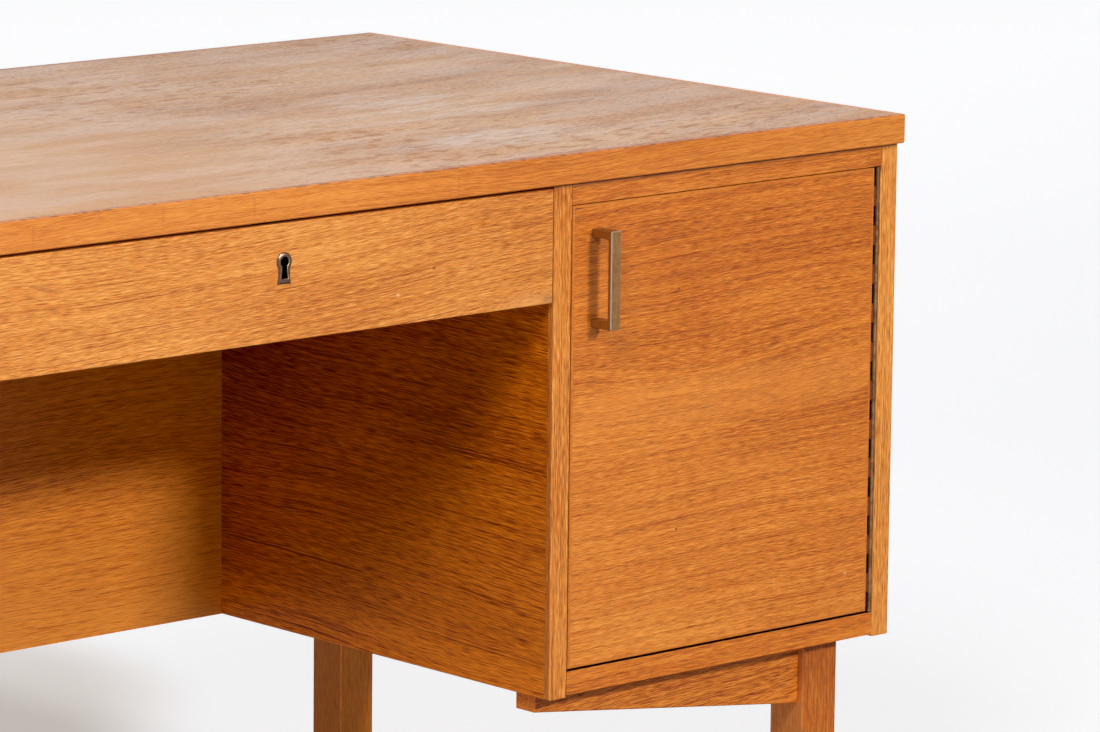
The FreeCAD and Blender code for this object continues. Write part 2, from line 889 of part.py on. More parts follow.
def hinge_pin():
    """Wire pin through all the knuckles."""
    foot = Vector(hinge_x, hinge_y, hinge_z[0])
    return rod(hinge_pin_radius, hinge_z[1] - hinge_z[0], foot, Vector(0, 0, 1), pin_sides)


def hinge_screw_row(x, way, gap):
    """Countersunk screws along one leaf, or the holes for them."""
    low = hinge_z[0] + hinge_screw_inset
    step = (hinge_z[1] - hinge_z[0] - hinge_screw_inset * 2) / (hinge_screw_count - 1)
    middle = (leaf_y[0] + leaf_y[1]) / 2
    screws = []
    for number in range(hinge_screw_count):
        head = Vector(x, middle, low + step * number)
        screws.append(wood_screw(head, Vector(way, 0, 0), hinge_screw_length, hinge_screw_shank_radius,
                                 hinge_screw_head_radius, hinge_screw_head_height, gap))
    return screws


def panel_hinge_screws(gap=0.0):
    """Screws of the leaf on the outer panel."""
    return hinge_screw_row(panel_leaf_x[0], 1, gap)


def door_hinge_screws(gap=0.0):
    """Screws of the leaf on the door's edge."""
    return hinge_screw_row(door_leaf_x[1], -1, gap)


# Magnetic catch

catch_x = (bay_low + catch_inset, bay_low + catch_inset + catch_length)
catch_y0 = door_y[1] + catch_plate_thickness + catch_gap + catch_magnet_proud
catch_y = (catch_y0, catch_y0 + catch_depth)
catch_z = (bay_top - catch_height, bay_top)


def door_catch():
    """Housing under the top board with two flat magnets that stand a little proud."""
    lower = lambda box: box.ZMax < catch_z[0] + same_place
    body = eased(block(catch_x, catch_y, catch_z), catch_arris, lower)
    middle = (catch_z[0] + catch_z[1]) / 2
    pieces = []
    for offset in (-catch_magnet_width, catch_magnet_width):
        bar = about(middle + offset, catch_magnet_width)
        length = grown(catch_x, -catch_arris * 4)
        pieces.append(block(length, (catch_y[0] - catch_magnet_proud, catch_y[0]), bar))
    return joined(body, pieces)


def catch_plate():
    """Steel plate on the back of the door that the magnets hold."""
    x = about((catch_x[0] + catch_x[1]) / 2, catch_plate_length)
    z = about((catch_z[0] + catch_z[1]) / 2, catch_plate_height)
    return block(x, (door_y[1], door_y[1] + catch_plate_thickness), z)


# Lock of the centre drawer

centre_face = slab_front + centre_front_setback
centre_joint = centre_face + centre_front_thickness
centre_top = slab_under - centre_front_top_gap
centre_z = (centre_top - centre_front_height, centre_top)
keyhole_z = centre_top - keyhole_drop
head_z = keyhole_z + escutcheon_height / 2 - escutcheon_head_radius
lock_y = (centre_joint - lock_recess_depth, centre_joint - lock_recess_depth + lock_case_thickness)
lock_plate_y = (lock_y[1] - lock_plate_width, lock_y[1])
bolt_y = about((lock_y[0] + lock_y[1]) / 2, bolt_thickness)
bolt_z = (centre_top - bolt_length, centre_top)


def keyhole(y):
    """Round hole with a slot that flares to its foot, right through a span of y."""
    foot = head_z + keyhole_radius - keyhole_height
    eye = Part.makeCylinder(keyhole_radius, y[1] - y[0], Vector(0, y[0], head_z), Vector(0, 1, 0))
    slot = prism([
        Vector(-keyhole_neck_width / 2, y[0], head_z),
        Vector(keyhole_neck_width / 2, y[0], head_z),
        Vector(keyhole_foot_width / 2, y[0], foot),
        Vector(-keyhole_foot_width / 2, y[0], foot),
    ], Vector(0, y[1] - y[0], 0))
    return joined(eye, [slot])


def escutcheon_outline(y, inset):
    """Round head, drawn-in waist and flat square foot, drawn in by an inset."""
    radius = escutcheon_head_radius - inset
    neck_rise = -radius * escutcheon_neck_share
    neck_half = (radius ** 2 - neck_rise ** 2) ** 0.5
    foot_half = escutcheon_foot_width / 2 - inset
    waist_half = escutcheon_waist_width / 2 - inset
    foot = keyhole_z - escutcheon_height / 2 + inset
    waist_z = foot + escutcheon_height * escutcheon_waist_share
    crown = Vector(0, y, head_z + radius)
    neck = Vector(neck_half, y, head_z + neck_rise)
    waist = Vector(waist_half, y, waist_z)
    corner = Vector(foot_half, y, foot)
    far_neck = Vector(-neck_half, y, neck.z)
    far_waist = Vector(-waist_half, y, waist_z)
    far_corner = Vector(-foot_half, y, foot)
    return Part.Wire([
        Part.Arc(far_neck, crown, neck).toShape(),
        Part.Arc(neck, waist, corner).toShape(),
        Part.LineSegment(corner, far_corner).toShape(),
        Part.Arc(far_corner, far_waist, far_neck).toShape(),
    ])


def escutcheon():
    """Keyhole plate with a sloping rim round its front face."""
    shoulder_y = centre_face - escutcheon_thickness + escutcheon_edge
    front_y = centre_face - escutcheon_thickness
    base = Part.Face(escutcheon_outline(centre_face, 0)).extrude(Vector(0, shoulder_y - centre_face, 0))
    rims = [escutcheon_outline(shoulder_y, 0), escutcheon_outline(front_y, escutcheon_edge)]
    crown = Part.makeLoft(rims, True, True)
    plate = joined(base, [crown])
    return plate.cut(keyhole(grown((front_y, centre_face), overrun)))


def lock_case_block(gap=0.0):
    """Case and top plate of the lock; with a gap, the recess for them."""
    case = block(
        grown(about(0, lock_case_width), gap),
        (lock_y[0] - gap, lock_y[1]),
        (centre_top - lock_case_height - gap, centre_top),
    )
    plate = block(
        grown(about(0, lock_case_width), gap),
        (lock_plate_y[0] - gap, lock_plate_y[1]),
        (centre_top - lock_plate_thickness - gap, centre_top),
    )
    return joined(case, [plate])


def drawer_lock():
    """Lock case with the bolt's channel, the key chamber and the key post."""
    channel = block(
        grown(about(0, bolt_width), bolt_gap),
        grown(bolt_y, bolt_gap),
        (bolt_z[0] - bolt_gap, centre_top + overrun),
    )
    chamber = keyhole((lock_y[0] - overrun, lock_y[0] + key_chamber_depth))
    post_start = Vector(0, lock_y[0], head_z)
    post = rod(key_post_radius, key_chamber_depth, post_start, Vector(0, 1, 0), pin_sides)
    return lock_case_block().cut([channel, chamber]).fuse(post)


def lock_bolt():
    """Flat bolt that slides up out of the lock."""
    return block(about(0, bolt_width), bolt_y, bolt_z)


strike_centre_y = (bolt_y[0] + bolt_y[1]) / 2
strike_slot_x = grown(about(0, bolt_width), strike_slot_gap)
strike_slot_y = grown(bolt_y, strike_slot_gap)


def strike_recess():
    """Shallow recess under the desktop for the strike plate."""
    return block(
        grown(about(0, strike_length), lock_fit_gap),
        grown(about(strike_centre_y, strike_width), lock_fit_gap),
        (slab_under - overrun, slab_under + strike_thickness),
    )


def strike_pocket():
    """Pocket in the desktop that the raised bolt enters."""
    depth = bolt_travel - centre_front_top_gap + strike_pocket_spare
    return block(strike_slot_x, strike_slot_y, (slab_under, slab_under + depth))


def lock_strike():
    """Plate with the slot for the bolt, flush under the desktop."""
    plate = block(
        about(0, strike_length),
        about(strike_centre_y, strike_width),
        (slab_under, slab_under + strike_thickness),
    )
    slot = block(strike_slot_x, strike_slot_y, grown((slab_under, slab_under + strike_thickness), overrun))
    return plate.cut(slot)


# The whole desk

parts = {}


def build_desktop():
    parts["desktop_core"] = desktop_core()
    parts["desktop_long_lippings"] = long_lippings()
    parts["desktop_end_lippings"] = end_lippings()
    parts["lock_strike"] = lock_strike()


def build_carcass():
    outer_x = (bay_high, outer_face)
    inner_x = (knee_face, bay_low)
    housings = bay_housings() + bay_pins(glue_gap)
    left_housings = [other_side(cutter) for cutter in bay_housings() + side_bay_pins(glue_gap)]
    crossing = knee_housings() + knee_pins(glue_gap)
    left_outer = other_side(panel_core(outer_x))
    left_inner = other_side(panel_core(inner_x))
    parts["right_outer_panel"] = panel_core(outer_x).cut(housings + panel_hinge_screws(glue_gap))
    parts["right_inner_panel"] = panel_core(inner_x).cut(housings + crossing)
    parts["left_outer_panel"] = left_outer.cut(left_housings)
    parts["left_inner_panel"] = left_inner.cut(left_housings + crossing)
    strips = []
    for span in (outer_x, inner_x):
        lippings = panel_lippings(span)
        strips += lippings.Solids + other_side(lippings).Solids
    parts["panel_edge_lippings"] = Part.makeCompound(strips)
    parts["right_bottom_board"] = bottom_board()
    parts["left_bottom_board"] = other_side(bottom_board())
    parts["right_top_board"] = top_board()
    parts["left_top_board"] = other_side(top_board())
    parts["right_partition"] = partition()
    parts["left_partition"] = other_side(partition())
    parts["modesty_panel"] = modesty_panel()
    parts["rear_bay_bottom"] = rear_bay_bottom()


def build_shelves():
    side_shelf = shelf(bay_width_span, side_shelf_y, rear_shelf_z)
    parts["cupboard_shelf"] = shelf(bay_width_span, cupboard_shelf_y, cupboard_shelf_z)
    parts["centre_bay_shelf"] = shelf(knee_span, centre_shelf_y, rear_shelf_z)
    parts["side_bay_shelves"] = Part.makeCompound([side_shelf, other_side(side_shelf)])
    left_pins = [other_side(pin) for pin in side_bay_pins()]
    parts["shelf_pins"] = Part.makeCompound(bay_pins() + knee_pins() + left_pins)


def build_base():
    corners = ("front_right", "rear_right", "front_left", "rear_left")
    for corner, post, rail in zip(corners, at_four_corners(leg()), at_four_corners(bracket())):
        parts[corner + "_leg"] = post
        parts[corner + "_bracket"] = rail
    parts["side_stretchers"] = Part.makeCompound([stretcher(), other_side(stretcher())])
    parts["leg_glides"] = Part.makeCompound(at_four_corners(glide()))
    screws = bracket_screws() + desktop_screws()
    parts["fixing_screws"] = Part.makeCompound(screws + [other_side(screw) for screw in screws])


def build_door():
    parts["door_panel"] = door_panel()
    parts["door_lippings"] = door_lippings()
    parts["door_handle"] = handle_set(door_handle_centre, door_thickness, False)
    parts["hinge_panel_leaf"] = hinge_leaf(panel_leaf_x, 0).cut(panel_hinge_screws(glue_gap))
    parts["hinge_door_leaf"] = hinge_leaf(door_leaf_x, 1).cut(door_hinge_screws(glue_gap))
    parts["hinge_pin"] = hinge_pin()
    parts["hinge_panel_screws"] = Part.makeCompound(panel_hinge_screws())
    parts["hinge_door_screws"] = Part.makeCompound(door_hinge_screws())
    parts["door_catch"] = door_catch()
    parts["catch_plate"] = catch_plate()


def build_centre_drawer():
    box = drawer_box(knee_span, centre_face, centre_front_thickness, centre_z)
    keyway = keyhole(grown((centre_face, centre_joint), overrun))
    parts["centre_drawer_front"] = box["front"].cut([lock_case_block(lock_fit_gap), keyway])
    parts["centre_drawer_sides"] = Part.makeCompound(box["sides"])
    parts["centre_drawer_back"] = box["back"]
    parts["centre_drawer_bottom"] = box["bottom"]
    parts["centre_drawer_runners"] = Part.makeCompound(box["runners"])
    parts["keyhole_escutcheon"] = escutcheon()
    parts["drawer_lock"] = drawer_lock()
    parts["lock_bolt"] = lock_bolt()


def build_left_drawers():
    opening = (-bay_high, -bay_low)
    high = bay_top - pedestal_front_gap
    runners = []
    heights = (("upper", upper_front_height), ("middle", middle_front_height), ("lower", lower_front_height))
    for name, height in heights:
        front_z = (high - height, high)
        centre = Vector((opening[0] + opening[1]) / 2, carcass_front, (front_z[0] + front_z[1]) / 2)
        box = drawer_box(opening, carcass_front, pedestal_front_thickness, front_z)
        bores = handle_bores(centre, pedestal_front_thickness, True)
        parts[name + "_drawer_front"] = box["front"].cut(bores)
        parts[name + "_drawer_box"] = Part.makeCompound(box["sides"] + [box["back"], box["bottom"]])
        parts[name + "_drawer_handle"] = handle_set(centre, pedestal_front_thickness, True)
        runners += box["runners"]
        high = front_z[0] - pedestal_front_gap
    parts["left_drawer_runners"] = Part.makeCompound(runners)


build_desktop()
build_carcass()
build_shelves()
build_base()
build_door()
build_centre_drawer()
build_left_drawers()

os.makedirs("parts", exist_ok=True)
for name, shape in parts.items():
    shape.exportStep("parts/" + name + ".step")
print(len(parts), "nodes,", sum(len(shape.Solids) for shape in parts.values()), "solids")
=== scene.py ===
"""Looks of the writing desk: oak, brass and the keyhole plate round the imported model.

Metres, +Z up, the sitter's side faces -Y, the origin is on the floor under the middle.
Finishes and outlines are worked out in millimetres on the desk.
"""
import math

import bpy
import numpy as np
from mathutils import Matrix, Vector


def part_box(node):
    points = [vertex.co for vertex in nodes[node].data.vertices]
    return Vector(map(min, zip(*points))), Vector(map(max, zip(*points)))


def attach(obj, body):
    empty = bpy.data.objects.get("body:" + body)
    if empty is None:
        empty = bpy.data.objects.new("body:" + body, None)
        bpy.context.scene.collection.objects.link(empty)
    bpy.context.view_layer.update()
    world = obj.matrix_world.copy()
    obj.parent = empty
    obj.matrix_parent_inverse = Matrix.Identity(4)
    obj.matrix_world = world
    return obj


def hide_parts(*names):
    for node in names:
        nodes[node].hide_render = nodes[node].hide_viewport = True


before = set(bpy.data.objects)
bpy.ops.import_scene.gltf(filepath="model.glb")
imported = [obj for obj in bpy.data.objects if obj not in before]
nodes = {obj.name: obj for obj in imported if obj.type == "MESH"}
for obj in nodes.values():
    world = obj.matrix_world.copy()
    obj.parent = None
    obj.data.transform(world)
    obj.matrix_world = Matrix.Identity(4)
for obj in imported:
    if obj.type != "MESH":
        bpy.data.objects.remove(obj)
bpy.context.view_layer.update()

MM = 0.001
scene = bpy.context.scene


# Camera

CAMERA_PLACE = (-3.0560, -4.00925, 1.4522)
CAMERA_TURN = -0.7395
CAMERA_TILT = 0.1791
CAMERA_ROLL = 0.0113
CAMERA_SENSOR = 36.0
CAMERA_LENS = 199.16
CAMERA_REACH = (0.1, 100.0)


def level_axes(back):
    """Level axis to the right and axis upwards of a thing whose back points a given way."""
    right = np.cross((0.0, 0.0, 1.0), back)
    right /= np.linalg.norm(right)
    return right, np.cross(back, right)


def stand(name, data, right, up, back, place):
    """New object at a place, with its own axes pointing right, up and back."""
    matrix = Matrix.Identity(4)
    for row in range(3):
        matrix[row] = right[row], up[row], back[row], place[row]
    thing = bpy.data.objects.new(name, data)
    thing.matrix_world = matrix
    scene.collection.objects.link(thing)
    return thing


def set_camera():
    """Camera at a place, turned round the upright axis, tilted down, then rolled."""
    flat = math.cos(CAMERA_TILT)
    back = np.array([math.sin(CAMERA_TURN) * flat, -math.cos(CAMERA_TURN) * flat, math.sin(CAMERA_TILT)])
    right, up = level_axes(back)
    rolled_right = math.cos(CAMERA_ROLL) * right + math.sin(CAMERA_ROLL) * up
    rolled_up = -math.sin(CAMERA_ROLL) * right + math.cos(CAMERA_ROLL) * up
    data = bpy.data.cameras.new("camera")
    data.sensor_fit = "HORIZONTAL"
    data.sensor_width = CAMERA_SENSOR
    data.lens = CAMERA_LENS
    data.clip_start, data.clip_end = CAMERA_REACH
    scene.camera = stand("camera", data, rolled_right, rolled_up, back, CAMERA_PLACE)


# Finishes

def paint(red, green, blue):
    """Colour given in the usual 0 to 255 steps, as the shader's linear numbers."""
    steps = np.array([red, green, blue]) / 255.0
    linear = np.where(steps <= 0.04045, steps / 12.92, ((steps + 0.055) / 1.055) ** 2.4)
    return tuple(float(value) for value in linear) + (1.0,)


class Nodes:
    """Shader nodes, added one by one. An input is a number, a colour or another node's socket."""

    def __init__(self, tree):
        self.tree = tree

    def add(self, kind, inputs=(), **settings):
        """New node with its inputs and settings."""
        node = self.tree.nodes.new("ShaderNode" + kind)
        for key, value in settings.items():
            setattr(node, key, value)
        for key, value in dict(inputs).items():
            self.feed(node.inputs[key], value)
        return node

    def feed(self, socket, value):
        """Links a socket to another one, or sets its number or colour."""
        if isinstance(value, bpy.types.NodeSocket):
            self.tree.links.new(value, socket)
        else:
            socket.default_value = value

    def calc(self, operation, *values, clamp=False):
        """Result of one step of arithmetic."""
        return self.add("Math", dict(enumerate(values)), operation=operation, use_clamp=clamp).outputs[0]

    def between(self, value, low, high, out_low=0.0, out_high=1.0):
        """Value eased from one range into another and held at its ends."""
        inputs = {"Value": value, "From Min": low, "From Max": high, "To Min": out_low, "To Max": out_high}
        return self.add("MapRange", inputs, interpolation_type="SMOOTHSTEP").outputs[0]

    def within(self, *steps):
        """Product of soft steps, each a value that goes from 0 at one place to 1 at another."""
        share = 1.0
        for value, start, end in steps:
            share = self.calc("MULTIPLY", share, self.between(value, start, end))
        return share

    def noise(self, space, lengths, shift, detail=2.0, roughness=0.5):
        """Noise whose features have the given lengths along the three axes."""
        scale = tuple(1.0 / length for length in lengths)
        mapped = self.add("Mapping", {"Vector": space, "Location": shift, "Scale": scale}).outputs[0]
        inputs = {"Vector": mapped, "Scale": 1.0, "Detail": detail, "Roughness": roughness}
        return self.add("TexNoise", inputs).outputs[0]

    def blend(self, share, first, second):
        """Colour between two colours."""
        node = self.add("Mix", data_type="RGBA")
        self.feed(node.inputs[0], share)
        self.feed(node.inputs[6], first)
        self.feed(node.inputs[7], second)
        return node.outputs[2]

    def ramp(self, value, stops):
        """Colour read from a row of (place, colour) stops."""
        node = self.add("ValToRGB", {"Fac": value})
        marks = node.color_ramp.elements
        while len(marks) < len(stops):
            marks.new(0.5)
        for mark, (place, colour) in zip(marks, stops):
            mark.position = place
            mark.color = colour
        return node.outputs[0]


class Finish(Nodes):
    """A procedural material, made from places on the desk at rest, in millimetres.

    Its vector is the whole place, and its place holds the same x, y and z one by one.
    """

    def __init__(self, name):
        self.material = bpy.data.materials.new(name)
        self.material.use_nodes = True
        super().__init__(self.material.node_tree)
        self.shader = self.tree.nodes["Principled BSDF"]
        metres = self.add("TexCoord").outputs["Object"]
        self.vector = self.add("VectorMath", {0: metres, "Scale": 1.0 / MM}, operation="SCALE").outputs[0]
        self.place = tuple(self.add("SeparateXYZ", {"Vector": self.vector}).outputs)

    def set(self, name, value):
        """Feeds one of the shader's inputs."""
        self.feed(self.shader.inputs[name], value)

    def wear(self, colour):
        """Takes a colour."""
        self.colour = colour
        self.set("Base Color", colour)

    def recolour(self, cover, colour, share=1.0):
        """Mixes in a mark's colour, by a share, where its cover is above 0."""
        if share != 1.0:
            cover = self.calc("MULTIPLY", cover, share)
        self.wear(self.blend(cover, self.colour, colour))

    def relief(self, height, depth, strength):
        """Fine relief of the surface, from a height between 0 and 1."""
        inputs = {"Height": height, "Distance": depth * MM, "Strength": strength}
        self.set("Normal", self.add("Bump", inputs).outputs[0])

    def spot_distance(self, face, centre, reach, lean=0.0):
        """Distance from a spot's centre in its own lengths, on the front, a side or the top."""
        x, y, z = self.place
        across, up = {"front": (x, z), "side": (y, z), "top": (x, y)}[face]
        across = self.calc("SUBTRACT", across, centre[0])
        up = self.calc("MULTIPLY_ADD", across, -lean, self.calc("SUBTRACT", up, centre[1]))
        across = self.calc("DIVIDE", across, reach[0])
        up = self.calc("DIVIDE", up, reach[1])
        square = self.calc("MULTIPLY_ADD", across, across, self.calc("MULTIPLY", up, up))
        return self.calc("SQRT", square)

    def spot(self, face, centre, reach, colour, share, lean=0.0, ragged=0.3, grit=2.0):
        """Mark with a ragged rim: full inside its ellipse, gone outside it."""
        noise = self.noise(self.vector, (grit, grit, grit), (4.0, 7.0, 1.0))
        distance = self.spot_distance(face, centre, reach, lean)
        distance = self.calc("MULTIPLY_ADD", noise, 2.0 * ragged, distance)
        cover = self.between(distance, 1.0 + ragged, 0.45 + ragged)
        self.recolour(cover, colour, share)


HONEY = (
    (0.0, paint(142, 61, 12)),
    (0.3, paint(190, 98, 26)),
    (0.55, paint(222, 130, 45)),
    (1.0, paint(250, 172, 82)),
)
DEEP_HONEY = (
    (0.0, paint(112, 44, 9)),
    (0.3, paint(166, 80, 19)),
    (0.55, paint(204, 113, 34)),
    (1.0, paint(240, 155, 64)),
)
YELLOW_HONEY = (
    (0.0, paint(148, 71, 18)),
    (0.3, paint(196, 108, 35)),
    (0.55, paint(226, 141, 58)),
    (1.0, paint(252, 186, 100)),
)
WORN_HONEY = (
    (0.0, paint(132, 70, 20)),
    (0.3, paint(180, 108, 36)),
    (0.55, paint(211, 139, 56)),
    (1.0, paint(240, 190, 106)),
)
PALE_WOOD = (
    (0.0, paint(168, 120, 72)),
    (0.4, paint(206, 162, 110)),
    (1.0, paint(238, 204, 156)),
)
LEAST_COLOUR = 0.001


def mellow(share, colours=HONEY):
    """Oak's colours, turned by a share towards the yellower ones, or redder below 0."""
    stops = []
    for (place, first), (_, honey), (_, yellow) in zip(colours, HONEY, YELLOW_HONEY):
        turned = (a + (b - c) * share for a, b, c in zip(first, yellow, honey))
        stops.append((place, tuple(max(value, LEAST_COLOUR) for value in turned)))
    return stops


# Layers of the grain: their length along it and their width across it
DRIFT = (420.0, 170.0)
WOBBLE = (70.0, 40.0)
FIBRE = (12.0, 0.46)
STRAND = (90.0, 1.2)
VEIN = (150.0, 1.0)
CLOUD = (220.0, 60.0)
PORE = (11.0, 0.56)

# How far drift and wobble push the grain aside, and the growth bands to a millimetre
DRIFT_PUSH = -26.0
WOBBLE_PUSH = -3.5
BANDS_TO_MM = 0.14
BAND_ROUGHNESS = 0.62

# Parts of the noise that make veins and pores, and pores fewer where a band is light
VEIN_CUT = (0.54, 0.70)
PORE_CUT = (0.54, 0.68)
PORES_IN_BANDS = (0.62, 0.40, 0.35, 1.0)
PORE_DARKNESS = 0.52

# What the layers add to the tone. The three fine ones add 0.8 on average, half of FINE_TONE.
PLAIN_TONE = 0.505
GROWTH_TONE = 0.20
FIBRE_TONE = 1.20
STRAND_TONE = 0.46
VEIN_TONE = -0.26
CLOUD_TONE = 0.50
FINE_TONE = 1.60

OAK_ROUGHNESS = 0.42
OAK_RELIEF = 0.20
SEED_STEPS = (3.7, 1.9, 5.3)

# Lengths of the clouds of tarnish and of the specks on metal
TARNISH = 9.0
SPECK = 1.1


def wood(name, along, seed, tilt=0.0, bow=0.0, figures=(), shade=None, fade=None, fine=1.0, spread=1.0,
         bands=1.0, reach=1.0, pores=0.55, lift=0.0, colours=HONEY):
    """Sawn oak: growth bands, fibres and pore dashes that follow one gently bent grain.

    Grain runs along an axis, and a top is a level board with its grain along X. The
    place across the grain is measured from a bent line,
    bent = cross - tilt * along - bow * along ^ 2 - slow drift, so bands stay nearly
    straight. A figure (along, cross, reach along, reach across, height) adds a hill
    height * exp(-(a / reach) ^ 2 - (c / reach) ^ 2) to that place, and the bands
    round the hill close into long arches. A shade (low, high, first, last) makes the
    tone go from first to last as the place across goes from low to high, and a fade
    does so along the grain. Fine, spread and bands are the strength of the fine layers,
    of the soft clouds and of the growth bands. Reach stretches the fine layers along
    the grain, pores is how dark the pores are, and lift makes the whole tone lighter.
    The seed shifts every layer, so that two boards differ.
    """
    finish = Finish(name)
    x, y, z = finish.place
    orders = {"x": (x, z, y), "y": (y, z, x), "z": (z, x, y), "top": (x, y, z)}
    along_axis, cross_axis, deep_axis = orders[along]
    shift = tuple(seed * step for step in SEED_STEPS)

    def layer(space, size, stretch=1.0, **settings):
        length, width = size
        return finish.noise(space, (length * stretch, width, width), shift, **settings)

    plain_grain = finish.add("CombineXYZ", {0: along_axis, 1: cross_axis, 2: deep_axis}).outputs[0]
    drift = layer(plain_grain, DRIFT, detail=1.0)
    wobble = layer(plain_grain, WOBBLE)
    lean = finish.calc("MULTIPLY_ADD", along_axis, -bow, -tilt)
    bent = finish.calc("MULTIPLY_ADD", lean, along_axis, cross_axis)
    bent = finish.calc("MULTIPLY_ADD", drift, DRIFT_PUSH, bent)
    bent = finish.calc("MULTIPLY_ADD", wobble, WOBBLE_PUSH, bent)
    grain = finish.add("CombineXYZ", {0: along_axis, 1: bent, 2: deep_axis}).outputs[0]

    level = bent
    for centre, height, reach_along, reach_across, hill in figures:
        away = finish.calc("DIVIDE", finish.calc("SUBTRACT", along_axis, centre), reach_along)
        aside = finish.calc("DIVIDE", finish.calc("SUBTRACT", cross_axis, height), reach_across)
        square = finish.calc("MULTIPLY_ADD", aside, aside, finish.calc("MULTIPLY", away, away))
        fall = finish.calc("EXPONENT", finish.calc("MULTIPLY", square, -1.0))
        level = finish.calc("MULTIPLY_ADD", fall, hill, level)
    rings = {"W": finish.calc("MULTIPLY", level, BANDS_TO_MM), "Scale": 1.0, "Detail": 4.0,
             "Roughness": BAND_ROUGHNESS}
    growth = finish.add("TexNoise", rings, noise_dimensions="1D").outputs[0]

    fibre = layer(grain, FIBRE, reach, detail=1.0)
    strand = layer(grain, STRAND, reach, roughness=0.55)
    vein = finish.between(layer(grain, VEIN, reach), *VEIN_CUT)
    cloud = layer(grain, CLOUD)
    pore = finish.between(layer(grain, PORE, reach, detail=1.0, roughness=0.4), *PORE_CUT)
    pore = finish.calc("MULTIPLY", pore, finish.between(growth, *PORES_IN_BANDS))

    middle = PLAIN_TONE + lift - 0.5 * (GROWTH_TONE * bands + CLOUD_TONE * spread + FINE_TONE * fine)
    tone = finish.calc("MULTIPLY_ADD", growth, GROWTH_TONE * bands, middle)
    tone = finish.calc("MULTIPLY_ADD", fibre, FIBRE_TONE * fine, tone)
    tone = finish.calc("MULTIPLY_ADD", strand, STRAND_TONE * fine, tone)
    tone = finish.calc("MULTIPLY_ADD", vein, VEIN_TONE * fine, tone)
    tone = finish.calc("MULTIPLY_ADD", cloud, CLOUD_TONE * spread, tone)
    for axis, change in ((cross_axis, shade), (along_axis, fade)):
        if change:
            tone = finish.calc("ADD", tone, finish.between(axis, *change))
    body = finish.ramp(tone, colours)
    darker = {"Saturation": 1.10, "Value": PORE_DARKNESS, "Color": body}
    dark = finish.add("HueSaturation", darker).outputs[0]
    finish.wear(finish.blend(finish.calc("MULTIPLY", pore, pores), body, dark))

    height = finish.calc("MULTIPLY_ADD", fibre, 0.5, finish.calc("MULTIPLY_ADD", pore, -0.7, 0.7))
    finish.relief(height, OAK_RELIEF, 0.6)
    finish.set("Roughness", OAK_ROUGHNESS)
    finish.grain = grain
    return finish


def metal(name, base, dull, roughness, seed, bite=0.5, metallic=1.0):
    """Aged metal: clouds of tarnish and fine specks over a polished ground."""
    finish = Finish(name)
    shift = (seed, seed, seed)
    cloud = finish.noise(finish.vector, (TARNISH,) * 3, shift, detail=4.0, roughness=0.6)
    speck = finish.noise(finish.vector, (SPECK,) * 3, shift)
    clouded = finish.between(cloud, 0.38, 0.66)
    tarnish = finish.calc("MULTIPLY_ADD", finish.between(speck, 0.56, 0.68), 0.5, clouded)
    tarnish = finish.calc("MULTIPLY", tarnish, bite, clamp=True)
    finish.wear(finish.blend(tarnish, base, dull))
    finish.set("Roughness", finish.calc("MULTIPLY_ADD", tarnish, 0.25, roughness))
    finish.set("Metallic", metallic)
    finish.relief(speck, 0.03, 0.2)
    return finish


def plain(name, first, second, roughness, length):
    """Moulded surface: one colour that varies slightly in soft clouds."""
    finish = Finish(name)
    cloud = finish.noise(finish.vector, (length, length, length), (1.0, 2.0, 3.0), detail=4.0, roughness=0.6)
    finish.wear(finish.blend(cloud, first, second))
    finish.set("Roughness", roughness)
    finish.relief(cloud, 0.08, 0.3)
    return finish


def dress(finish, *names):
    """Gives CAD nodes a finish."""
    for name in names:
        for slot in nodes[name].material_slots:
            slot.material = finish.material


def frame_front(node):
    """Foremost place of a node, in millimetres."""
    return float(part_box(node)[0][1]) / MM


def frame_heights(node):
    """Lowest and highest place of a node, in millimetres."""
    return tuple(float(corner[2]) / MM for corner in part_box(node))


# Oak

# Marks on the desktop: their lengths along the grain, across it and into it
TOP_PATCH = (380.0, 240.0, 100.0)
TOP_BLOTCH = (24.0, 9.0, 9.0)
TOP_DASH = (12.0, 2.4, 2.4)
TOP_SMEAR = (170.0, 46.0, 46.0)
TOP_STREAK = (36.0, 5.0, 5.0)

# Marks: centre and reach on their face, colour and strength; the top's patches share one colour
# The top's pale patches are partly wear and partly painted sheen.
WORN_AND_SHEEN_PATCHES = (
    dict(centre=(406.0, -49.0), reach=(115.0, 115.0), share=0.8),
    dict(centre=(315.0, -244.0), reach=(115.0, 62.0), share=0.7),
    dict(centre=(60.0, 60.0), reach=(260.0, 120.0), share=0.2),
)
EDGE_MARKS = tuple(
    dict(centre=(across, 717.0), reach=(2.0, 13.0), colour=paint(176, 96, 34), share=0.2, lean=lean)
    for across, lean in ((-251.0, 0.2), (-124.0, -0.3), (-32.0, 0.1), (183.0, -0.2))
)
DOOR_MARKS = (
    dict(centre=(500.0, 508.0), reach=(260.0, 30.0), colour=paint(240, 152, 66), share=0.3, ragged=0.4,
         grit=30.0),
    dict(centre=(434.2, 603.3), reach=(2.0, 1.5), colour=paint(118, 62, 22), share=0.75),
    dict(centre=(435.0, 396.5), reach=(2.0, 1.5), colour=paint(118, 62, 22), share=0.75),
    dict(centre=(552.8, 332.4), reach=(0.9, 10.0), colour=paint(236, 158, 84), share=0.5),
    dict(centre=(639.5, 330.2), reach=(2.4, 1.8), colour=paint(238, 178, 116), share=0.7),
    dict(centre=(318.0, 683.0), reach=(8.0, 0.9), colour=paint(92, 42, 14), share=0.85, ragged=0.1),
)
